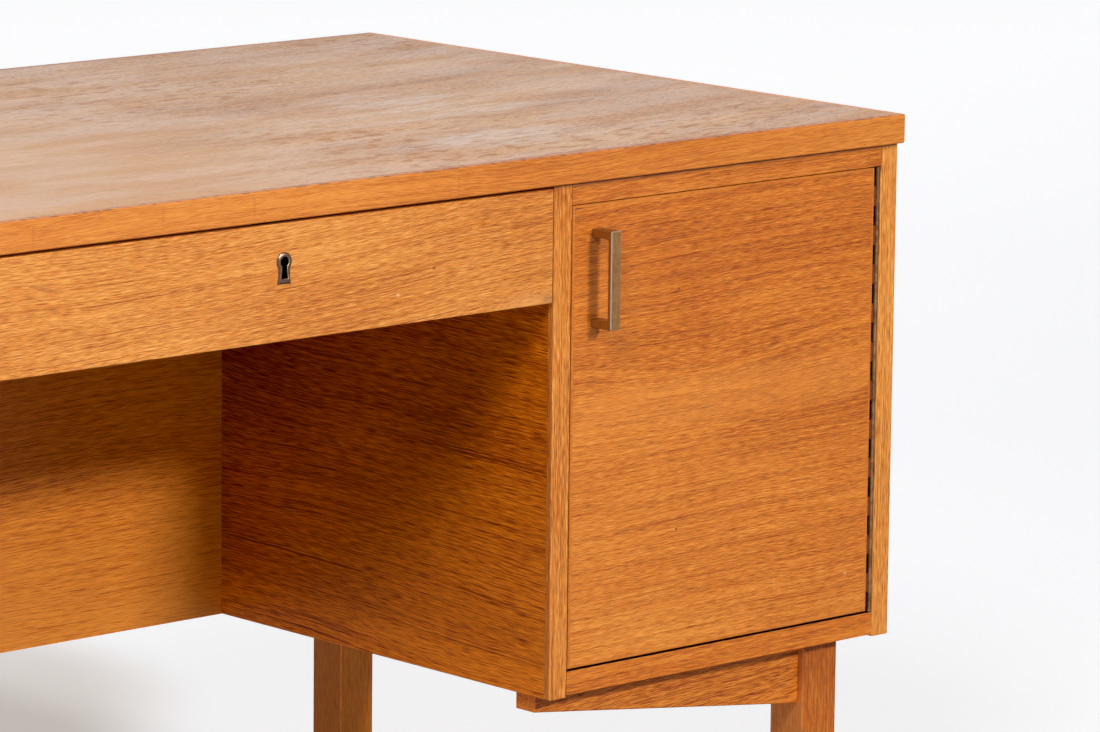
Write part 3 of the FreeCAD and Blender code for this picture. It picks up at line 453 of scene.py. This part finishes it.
DRAWER_MARKS = (
    dict(centre=(-241.0, 674.0), reach=(22.0, 2.4), colour=paint(170, 98, 44), share=0.5, lean=-0.27,
         ragged=0.5),
    dict(centre=(120.0, 631.4), reach=(2.4, 1.8), colour=paint(244, 196, 140), share=0.8),
    dict(centre=(158.5, 649.6), reach=(2.2, 1.5), colour=paint(104, 52, 20), share=0.8),
    dict(centre=(262.0, 608.0), reach=(40.0, 13.0), colour=paint(232, 162, 96), share=0.4, ragged=0.9,
         grit=2.2),
    dict(centre=(284.0, 610.0), reach=(8.0, 6.0), colour=paint(150, 92, 48), share=0.45, ragged=0.9,
         grit=1.5),
)
SIDE_CRACK = dict(centre=(42.0, 341.9), reach=(56.0, 0.8), colour=paint(52, 20, 6), share=0.8, ragged=0.15)

# Arches of the grain: along, cross, reach along, reach across, height
DOOR_FIGURES = ((600.0, 486.0, 130.0, 26.0, 34.0), (470.0, 545.0, 110.0, 30.0, 18.0))
LOWER_DRAWER_FIGURES = ((-500.0, 380.0, 150.0, 30.0, 30.0),)
OUTER_SIDE_FIGURES = ((40.0, 470.0, 240.0, 40.0, 46.0),)

# Distance from the desk's middle to the pedestal's inner side and to the outer panel's inside,
# and the height of the board under the door
KNEEHOLE_FACE = 291.0
CUPBOARD_FACE = 674.0
SILL_HEIGHT = 290.0


def finish_desktop():
    """Desktop veneer: calm at the left, dull reddish flecks, and pale patches that are partly wear and partly
    painted sheen.
    """
    top = wood("top_oak", "top", 11, tilt=0.04, bow=0.00005, lift=-0.05, fine=1.2, reach=0.5,
               colours=WORN_HONEY)
    calm = top.between(top.place[0], 260.0, -40.0, 0.0, 0.6)
    top.recolour(calm, paint(210, 145, 72))
    top.set("Specular IOR Level", 0.65)
    patchy = top.between(top.noise(top.vector, TOP_PATCH, (5.0, 2.0, 0.0)), 0.40, 0.60)
    blotch = top.between(top.noise(top.grain, TOP_BLOTCH, (2.0, 8.0, 1.0), detail=3.0), 0.52, 0.66)
    dash = top.between(top.noise(top.grain, TOP_DASH, (7.0, 3.0, 1.0), detail=1.0), 0.60, 0.70)
    fleck = top.calc("MULTIPLY_ADD", blotch, patchy, top.calc("MULTIPLY", dash, 0.8), clamp=True)
    fleck = top.calc("MULTIPLY", fleck, top.calc("MULTIPLY_ADD", calm, -1.2, 1.0))
    top.recolour(fleck, paint(166, 94, 40), 0.5)
    smear = top.noise(top.grain, TOP_SMEAR, (6.0, 6.0, 6.0), detail=3.0)
    streak = top.between(top.noise(top.grain, TOP_STREAK, (1.0, 9.0, 4.0), detail=3.0), 0.44, 0.62)
    for patch in WORN_AND_SHEEN_PATCHES:
        distance = top.spot_distance("top", patch["centre"], patch["reach"])
        near = top.between(top.calc("MULTIPLY_ADD", smear, 1.6, distance), 1.8, 1.0, 0.0, patch["share"])
        cover = top.calc("MULTIPLY", near, top.calc("MULTIPLY_ADD", streak, 0.6, 0.15))
        # Pale patch colour: partly wear, partly painted sheen.
        top.recolour(cover, paint(226, 206, 190))
    smeared = top.between(smear, 0.35, 0.65, 0.28, 0.40)
    top.set("Roughness", top.calc("MULTIPLY_ADD", fleck, 0.22, smeared))
    dress(top, "desktop_core")


def finish_desktop_edges():
    """Solid strips round the desktop, with small knocks along their upper arris."""
    edge = wood("edge_oak_long", "x", 21, tilt=0.015, fine=0.65, spread=0.6, pores=0.3,
                fade=(-200.0, 260.0, 0.03, -0.03), colours=mellow(0.3))
    for mark in EDGE_MARKS:
        edge.spot("front", **mark)
    crown = frame_heights("desktop_long_lippings")[1]
    arris = edge.between(edge.place[2], crown - 1.4, crown - 0.4)
    nick = edge.between(edge.noise(edge.vector, (7.0, 7.0, 7.0), (3.0, 1.0, 2.0), detail=3.0), 0.5, 0.62)
    worn = edge.calc("MULTIPLY", arris, edge.calc("MULTIPLY_ADD", nick, 0.5, 0.2))
    edge.recolour(worn, paint(120, 66, 28))
    dress(edge, "desktop_long_lippings")
    end = wood("edge_oak_end", "y", 22, tilt=0.015, fine=0.5, spread=0.8, pores=0.3, lift=0.04,
               colours=mellow(0.6))
    dress(end, "desktop_end_lippings")


def finish_door():
    """Door veneer with its long arches, a light band and small marks, and its edge strips."""
    # Painted shade and darker veneer together make the door darker towards its top.
    door = wood("door_oak", "x", 31, tilt=0.028, figures=DOOR_FIGURES, shade=(430.0, 610.0, 0.02, -0.10),
                fade=(520.0, 650.0, 0.0, -0.02), fine=1.1, bands=2.0, colours=mellow(-0.3))
    for mark in DOOR_MARKS:
        door.spot("front", **mark)
    dress(door, "door_panel")
    edge = wood("door_edge_oak", "x", 32, fine=0.5, spread=0.4, pores=0.3, lift=0.10, colours=DEEP_HONEY)
    dress(edge, "door_lippings")


def finish_drawer_fronts():
    """Centre drawer's front with its marks and the keyhole's walls painted dark as shade, and the three plain
    fronts.
    """
    drawer = wood("drawer_oak", "x", 41, tilt=0.05, bow=0.00004, fade=(-200.0, 150.0, 0.05, 0.0),
                  fine=1.3, colours=mellow(0.9))
    for mark in DRAWER_MARKS:
        drawer.spot("front", **mark)
    foot, crown = frame_heights("keyhole_escutcheon")
    hidden = frame_front("centre_drawer_front") + 10.0
    across, depth, height = drawer.place
    # Painted shade: the keyhole's walls, up to 10 mm behind the front, are painted nearly black.
    keyway_shade = drawer.within((drawer.calc("ABSOLUTE", across), 5.6, 4.6), (height, foot + 0.5, foot + 1.5),
                           (height, crown - 0.5, crown - 1.5), (depth, hidden + 1.0, hidden))
    drawer.recolour(keyway_shade, paint(10, 5, 3))
    dress(drawer, "centre_drawer_front")
    for name, seed, figures in (("upper", 42, ()), ("middle", 43, ()), ("lower", 44, LOWER_DRAWER_FIGURES)):
        dress(wood(name + "_drawer_oak", "x", seed, tilt=0.03, figures=figures), name + "_drawer_front")


def finish_panels():
    """Pedestal panels: the kneehole's sides, in darker, redder colours with painted shade towards the back
    and the top, and the outer sides.
    """
    # Painted shade: darker, redder colours, darker towards the back and the top of the kneehole.
    side = wood("side_oak", "y", 51, tilt=0.02, shade=(330.0, 520.0, 0.14, -0.07),
                fade=(-140.0, 40.0, 0.03, -0.15), fine=2.2, reach=1.5, lift=0.02,
                colours=mellow(-1.0, DEEP_HONEY))
    side.spot("side", **SIDE_CRACK)
    dress(side, "right_inner_panel", "left_inner_panel")
    outer = wood("outer_side_oak", "y", 52, tilt=0.03, figures=OUTER_SIDE_FIGURES)
    dress(outer, "right_outer_panel", "left_outer_panel")


def shade_under_top(finish):
    """Painted shade: a darker band and a soft dark line just under the desktop's overhang."""
    under = frame_heights("desktop_long_lippings")[0]
    height = finish.place[2]
    # Painted shade under the desktop's overhang.
    finish.recolour(finish.between(height, under - 6.0, under), paint(96, 48, 16), 0.5)
    finish.recolour(finish.between(height, under - 1.9, under - 0.8), paint(34, 16, 8), 0.85)


def finish_rails():
    """Front strips of the panels, and the boards above and below the door, with painted shade on them."""
    upright = wood("upright_oak", "z", 61, fine=1.7, spread=0.7, lift=0.07, shade=(400.0, 640.0, -0.08, 0.0),
                   fade=(300.0, 650.0, 0.0, 0.05), colours=mellow(0.3))
    front = frame_front("panel_edge_lippings")
    across, depth, height = upright.place
    aside = upright.calc("ABSOLUTE", across)
    # Painted shade: the stile's narrow face into the kneehole is darkened and reddened like the shaded panel
    # beside it.
    cheek_shade = upright.within((aside, KNEEHOLE_FACE + 1.0, KNEEHOLE_FACE + 0.3),
                           (depth, front + 0.1, front + 0.6))
    upright.recolour(cheek_shade, paint(150, 66, 10), 0.4)
    seam = upright.within((aside, CUPBOARD_FACE - 0.1, CUPBOARD_FACE + 0.1),
                          (aside, CUPBOARD_FACE + 0.9, CUPBOARD_FACE + 0.5), (height, 680.0, 684.0))
    upright.recolour(seam, paint(60, 26, 8), 0.6)
    shade_under_top(upright)
    dress(upright, "panel_edge_lippings")
    top_rail = wood("top_rail_oak", "x", 62, tilt=0.02, spread=0.8, lift=-0.11)
    shade_under_top(top_rail)
    dress(top_rail, "right_top_board", "left_top_board")
    low_rail = wood("low_rail_oak", "x", 65, tilt=0.02, spread=0.8, lift=0.02, colours=mellow(-0.7))
    _, depth, height = low_rail.place
    # Painted shade: the bottom board's top face, from just behind the door's front to about 10 mm back, is
    # painted nearly black.
    gap_shade = low_rail.within((height, SILL_HEIGHT - 0.1, SILL_HEIGHT + 0.3), (depth, front + 0.2, front + 0.8),
                          (depth, front + 14.0, front + 9.0))
    low_rail.recolour(gap_shade, paint(22, 11, 5))
    dress(low_rail, "right_bottom_board", "left_bottom_board")


def finish_back():
    """Modesty panel in redder colours, with painted light towards its foot and its right-hand corner, and the
    boards behind it and inside.
    """
    # Painted light: lighter at the foot below the drawer's shadow and towards the right-hand corner; the
    # redder colours stand in for its shade.
    modesty = wood("modesty_oak", "x", 64, tilt=0.005, shade=(290.0, 420.0, 0.24, 0.0),
                   fade=(160.0, 290.0, 0.0, 0.06), fine=1.7, lift=0.18, pores=0.3, reach=1.3,
                   colours=mellow(-1.2))
    dress(modesty, "modesty_panel")
    dress(wood("back_oak", "x", 63, tilt=0.005), "right_partition", "left_partition", "rear_bay_bottom",
          "cupboard_shelf", "centre_bay_shelf", "side_bay_shelves")


def finish_legs():
    """Legs with painted light and shade, each with its own tone on the face towards -X, then brackets and
    stretchers.
    """
    # Painted light and shade: front legs darker with paler faces towards -X, rear legs lighter and redder
    # with darker faces towards -X.
    front = dict(lift=-0.19, colours=HONEY), paint(226, 150, 78), 0.35
    rear = dict(lift=0.30, colours=mellow(-1.2)), paint(112, 42, 8), 0.55
    places = (("front_right", front), ("front_left", front), ("rear_right", rear), ("rear_left", rear))
    for place, (tone, painted_side_colour, share) in places:
        name = place + "_leg"
        leg = wood(name + "_oak", "z", 71, spread=0.8, **tone)
        face = float(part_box(name)[0][0]) / MM
        leg.recolour(leg.between(leg.place[0], face + 0.6, face + 0.2, 0.0, share), painted_side_colour)
        dress(leg, name)
    bracket = wood("bracket_oak", "x", 72, tilt=0.058, fine=1.8, spread=0.5, colours=mellow(-0.9))
    dress(bracket, *(place + "_bracket" for place, _ in places))
    dress(wood("stretcher_oak", "y", 73, spread=0.8), "side_stretchers", "left_drawer_runners",
          "centre_drawer_runners")


def finish_drawer_boxes():
    """Pale unfinished wood of the drawers' sides, backs and bottoms."""
    for name, along, seed, settings, worn_by in (
        ("drawer_wood", "y", 81, dict(fine=0.6, spread=0.7, pores=0.2),
         ("upper_drawer_box", "middle_drawer_box", "lower_drawer_box", "centre_drawer_sides")),
        ("drawer_back_wood", "x", 82, dict(fine=0.6, spread=0.7, pores=0.2), ("centre_drawer_back",)),
        ("ply_wood", "top", 83, dict(fine=0.5, spread=0.6, pores=0.15), ("centre_drawer_bottom",)),
    ):
        dress(wood(name, along, seed, colours=PALE_WOOD, **settings), *worn_by)


# Fittings

HANDLES = ("door_handle", "upper_drawer_handle", "middle_drawer_handle", "lower_drawer_handle")
HANDLE_METALLIC = 0.6
HANDLE_RIM = 0.8
HINGE_METALLIC = 0.45
HINGE_KNUCKLE_WALL = 0.7


def bar_brass(node, seed):
    """Bar handle's brown brass: streaks up its front face, a painted reflection of the wood on its sides and
    arms, and a pale rim that is rubbed metal and a painted highlight.
    """
    low, high = (np.array(corner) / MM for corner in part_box(node))
    middle, half = (low + high) / 2, (high - low) / 2
    finish = metal(node + "_brass", paint(194, 144, 94), paint(126, 86, 50), 0.34, seed, bite=0.4,
                   metallic=HANDLE_METALLIC)
    x, y, z = finish.place
    face = float(low[1])
    streak = finish.between(finish.noise(finish.vector, (1.3, 1.3, 16.0), (seed, 2.0, 5.0)), 0.42, 0.62)
    finish.recolour(streak, paint(158, 104, 58), 0.4)
    # Painted reflection: the sides and arms behind the front face take the wood's brown.
    behind = finish.between(y, face + 0.9, face + 1.2)
    finish.recolour(behind, paint(142, 90, 22), 0.75)
    aside = finish.calc("ABSOLUTE", finish.calc("SUBTRACT", x, float(middle[0])))
    rise = finish.calc("ABSOLUTE", finish.calc("SUBTRACT", z, float(middle[2])))
    aside = finish.calc("SUBTRACT", aside, float(half[0]) - HANDLE_RIM)
    rise = finish.calc("SUBTRACT", rise, float(half[2]) - HANDLE_RIM)
    # Pale rim along the front arris: rubbed metal, and a painted highlight.
    rim = finish.within((finish.calc("MAXIMUM", aside, rise), 0.0, 0.25), (y, face + 1.1, face + 0.8))
    finish.recolour(rim, paint(170, 176, 164), 0.85)
    finish.set("Metallic", finish.calc("MULTIPLY_ADD", rim, -0.35, HANDLE_METALLIC))
    return finish


def finish_fittings():
    """Metals and mouldings, with the nodes that wear them."""
    for number, name in enumerate(HANDLES):
        dress(bar_brass(name, 3.0 + number), name)
    hinge = metal("hinge_brass", paint(176, 138, 98), paint(96, 62, 36), 0.42, 9.0, bite=0.7,
                  metallic=HINGE_METALLIC)
    barrel = float(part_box("hinge_pin")[0][0]) / MM - HINGE_KNUCKLE_WALL
    # Painted reflection: the hinge just left of the barrel takes the wood's orange-brown and loses its
    # metallic look.
    tab_wood_reflection = hinge.between(hinge.place[0], barrel + 0.3, barrel - 0.2)
    hinge.recolour(tab_wood_reflection, paint(132, 54, 8), 0.95)
    hinge.set("Metallic", hinge.calc("MULTIPLY_ADD", tab_wood_reflection, -HINGE_METALLIC, HINGE_METALLIC))
    dress(hinge, "hinge_panel_leaf", "hinge_door_leaf", "hinge_pin", "hinge_panel_screws",
          "hinge_door_screws")
    steel = metal("steel", paint(186, 186, 182), paint(120, 116, 110), 0.32, 5.0)
    dress(steel, "lock_strike", "lock_bolt", "drawer_lock", "shelf_pins", "fixing_screws", "catch_plate")
    dress(plain("brown_plastic", paint(70, 44, 28), paint(92, 60, 40), 0.5, 6.0), "door_catch")
    dress(plain("nylon", paint(206, 200, 186), paint(180, 172, 156), 0.55, 8.0), "leg_glides")


# Keyhole plate

# Places along an outline's arc, side and foot
OUTLINE_COUNTS = (22, 16, 9)
PLATE_HEAD = 7.6
PLATE_EDGE = 0.55
PLATE_DOME = 0.95
HOLE_HEAD = 4.35
HOLE_FOOT = 13.8


def surface(name, places, finish, body, close_rows=False, close_columns=False):
    """Mesh from a grid of places, rows by columns, with quads between neighbours."""
    rows, columns = places.shape[:2]
    numbers = np.arange(rows * columns).reshape(rows, columns)
    if close_rows:
        numbers = np.vstack([numbers, numbers[:1]])
    if close_columns:
        numbers = np.hstack([numbers, numbers[:, :1]])
    faces = np.stack([numbers[:-1, :-1], numbers[1:, :-1], numbers[1:, 1:], numbers[:-1, 1:]], axis=-1)
    mesh = bpy.data.meshes.new(name)
    mesh.from_pydata(places.reshape(-1, 3).tolist(), [], faces.reshape(-1, 4).tolist())
    mesh.polygons.foreach_set("use_smooth", np.ones(len(mesh.polygons), dtype=bool))
    mesh.materials.append(finish.material)
    mesh.update()
    piece = bpy.data.objects.new(name, mesh)
    scene.collection.objects.link(piece)
    if body:
        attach(piece, body)
    return piece


def keyhole_outline(centre, radius, neck_angle, waist, corner):
    """Closed keyhole-shaped outline, as (x, z) places.

    Its right half is an arc about the centre from the crown to the neck, a side that
    bends through its waist down to the corner, and a straight foot to the middle line.
    """
    arc_count, side_count, foot_count = OUTLINE_COUNTS
    turn = np.linspace(0.0, neck_angle, arc_count, endpoint=False)
    arc = np.stack([radius * np.sin(turn), centre + radius * np.cos(turn)], axis=-1)
    neck = np.array([radius * math.sin(neck_angle), centre + radius * math.cos(neck_angle)])
    share = np.linspace(0.0, 1.0, side_count, endpoint=False)[:, None]
    pull = 2.0 * np.array(waist) - 0.5 * (neck + corner)
    side = neck * (1 - share) ** 2 + 2 * pull * share * (1 - share) + np.array(corner) * share ** 2
    share = np.linspace(0.0, 1.0, foot_count)[:, None]
    foot = np.array(corner) * (1 - share) + np.array([0.0, corner[1]]) * share
    right = np.vstack([arc, side, foot])
    left = right[-2:0:-1] * (-1.0, 1.0)
    return np.vstack([right, left])


def build_escutcheon():
    """Domed keyhole plate.

    Rings of places go from the plate's outer edge over a dome to the keyhole's lip and
    down its wall. A ring is the plate's outline blended with the keyhole's outline by
    its share s, and stands proud by edge + dome * sin(pi / 2 * s ^ 0.8).
    """
    low, high = (np.array(corner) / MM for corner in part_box("keyhole_escutcheon"))
    back, foot, crown = high[1], low[2], high[2]
    head = crown - PLATE_HEAD
    plate = keyhole_outline(head, PLATE_HEAD, 2.25, (5.85, foot + 7.2), (6.85, foot))
    hole = keyhole_outline(head, HOLE_HEAD, 2.47, (2.95, head - 8.6), (3.7, head - HOLE_FOOT))
    rings = [(0.0, 0.0), (0.0, 0.4)]
    for share in np.linspace(0.04, 0.90, 14):
        rings.append((share, PLATE_EDGE + PLATE_DOME * np.sin(np.pi * share ** 0.8 * 0.5)))
    rings += [(0.96, 1.46), (1.0, 1.30), (1.0, 0.6), (1.0, 0.0)]
    places = []
    for share, height in rings:
        outline = plate * (1 - share) + hole * share
        level = np.full(len(outline), back - height)
        places.append(np.stack([outline[:, 0], level, outline[:, 1]], axis=-1))
    piece = surface("escutcheon_plate", np.array(places) * MM, escutcheon_brass(float(back)), "centre_drawer",
                    True, True)
    inwards = piece.data.attributes.new("inwards", "FLOAT", "POINT")
    inwards.data.foreach_set("value", np.repeat([share for share, _ in rings], len(plate)))
    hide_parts("keyhole_escutcheon")


def escutcheon_brass(back):
    """Brown brass; its dark outer rim is patina deepened on the right as painted shade, the pale lip on the
    hole's right is worn brass with a painted highlight, and the hole's wall is painted dark as shade.
    """
    finish = metal("escutcheon_brass", paint(166, 130, 114), paint(92, 60, 46), 0.30, 7.0, bite=0.5,
                   metallic=0.9)
    share = finish.add("Attribute", attribute_name="inwards").outputs["Fac"]
    side, depth, _ = finish.place
    # Dark outer rim: patina, deepened towards the right as painted shade.
    rim = finish.between(share, 0.30, 0.12)
    rim = finish.calc("MULTIPLY", rim, finish.between(side, -4.0, 4.0, 0.45, 0.9))
    finish.recolour(rim, paint(84, 38, 18))
    # Painted highlight on the pale lip at the hole's right, over worn brass.
    finish.recolour(finish.within((share, 0.90, 0.96), (side, -1.0, 1.5)), paint(224, 204, 150))
    # Painted shade: the deeper part of the hole's wall goes nearly black.
    deep = finish.within((depth, back - 1.0, back - 0.7), (share, 0.90, 0.97))
    finish.recolour(deep, paint(14, 8, 6))
    return finish


# Studio

# Metres
FLOOR_HALF = 30.0
FLOOR_DROP = 0.0005

# Soft shade on the floor: a band between two ends at a depth behind the desk, in millimetres
SHADE_LEFT = -900.0
SHADE_RIGHT = 430.0
SHADE_DEPTH = 1000.0
SHADE_REACH = (470.0, 315.0)
SHADE_DIMMING = -0.45

# Way in which the surroundings are bright
BRIGHT_SIDE = (0.55, 0.80, 0.0)

# Name, place and target in metres, size in metres, power in watts
LIGHTS = (
    ("key", (1.1, -5.85, 3.2), (0.3, -0.3, 0.5), (1.1, 0.5), 246.0),
    ("overhead", (-2.25, -2.1, 3.1), (0.2, 0.0, 0.5), (1.2, 1.2), 78.0),
    ("low", (-2.4, -0.3, 0.13), (0.6, 0.0, 0.15), (0.9, 0.16), 23.0),
    ("right", (2.4, -4.2, 2.2), (0.3, -0.3, 0.5), (1.5, 1.0), 11.0),
    ("left", (-3.6, -4.0, 1.5), (0.2, -0.1, 0.5), (1.5, 1.2), 13.0),
)


def build_floor():
    """Pale floor, glowing more towards the back, with a long soft shade behind the desk."""
    floor = Finish("floor_paint")
    cloud = floor.noise(floor.vector, (900.0, 900.0, 900.0), (0.0, 0.0, 0.0))
    seen = floor.add("LightPath").outputs["Is Camera Ray"]
    shown = floor.blend(cloud, paint(219, 219, 221), paint(223, 223, 225))
    floor.wear(floor.blend(seen, paint(144, 144, 144), shown))
    floor.set("Roughness", 0.9)
    across, deep, _ = floor.place
    past_right = floor.calc("MAXIMUM", floor.calc("SUBTRACT", across, SHADE_RIGHT), 0.0)
    past_left = floor.calc("MAXIMUM", floor.calc("SUBTRACT", SHADE_LEFT, across), 0.0)
    aside = floor.calc("ADD", past_right, past_left)
    behind = floor.calc("SUBTRACT", deep, SHADE_DEPTH)
    square = floor.calc("MULTIPLY_ADD", aside, aside, floor.calc("MULTIPLY", behind, behind))
    shade = floor.between(floor.calc("SQRT", square), *SHADE_REACH)
    floor.set("Emission Color", floor.blend(shade, (0.985, 0.99, 1.0, 1.0), (1.0, 0.86, 0.72, 1.0)))
    glow = floor.between(deep, -1500.0, 4200.0, 0.36, 0.66)
    glow = floor.calc("MULTIPLY", glow, floor.calc("MULTIPLY_ADD", shade, SHADE_DIMMING, 1.0))
    floor.set("Emission Strength", floor.calc("MULTIPLY", seen, glow))
    reach = np.linspace(-FLOOR_HALF, FLOOR_HALF, 5)
    along, across = np.meshgrid(reach, reach)
    places = np.stack([across, along, np.full_like(along, -FLOOR_DROP)], axis=-1)
    surface("floor", places, floor, None)


def build_surroundings():
    """White surroundings that are bright behind the desk and nearly dark in front of it."""
    world = bpy.data.worlds.new("studio")
    scene.world = world
    world.use_nodes = True
    sky = Nodes(world.node_tree)
    backdrop = sky.tree.nodes["Background"]
    way = sky.add("TexCoord").outputs["Generated"]
    facing = sky.add("VectorMath", {0: way, 1: BRIGHT_SIDE}, operation="DOT_PRODUCT").outputs["Value"]
    sky.feed(backdrop.inputs["Color"], (1.0, 1.0, 1.0, 1.0))
    sky.feed(backdrop.inputs["Strength"], sky.between(facing, -0.1, 0.7, 0.01, 1.03))


def add_light(name, place, target, size, power):
    """Soft rectangular light aimed at a target."""
    data = bpy.data.lights.new(name, "AREA")
    data.shape = "RECTANGLE"
    data.size, data.size_y = size
    data.energy = power
    back = np.array(place) - np.array(target)
    back /= np.linalg.norm(back)
    right, up = level_axes(back)
    stand(name, data, right, up, back, place)


scene.view_settings.view_transform = "Standard"
scene.view_settings.use_curve_mapping = True
scene.view_settings.curve_mapping.black_level = (0.003, 0.003, 0.003)
scene.view_settings.curve_mapping.update()
set_camera()
build_floor()
build_surroundings()
for light in LIGHTS:
    add_light(*light)
finish_desktop()
finish_desktop_edges()
finish_door()
finish_drawer_fronts()
finish_panels()
finish_rails()
finish_back()
finish_legs()
finish_drawer_boxes()
finish_fittings()
build_escutcheon()
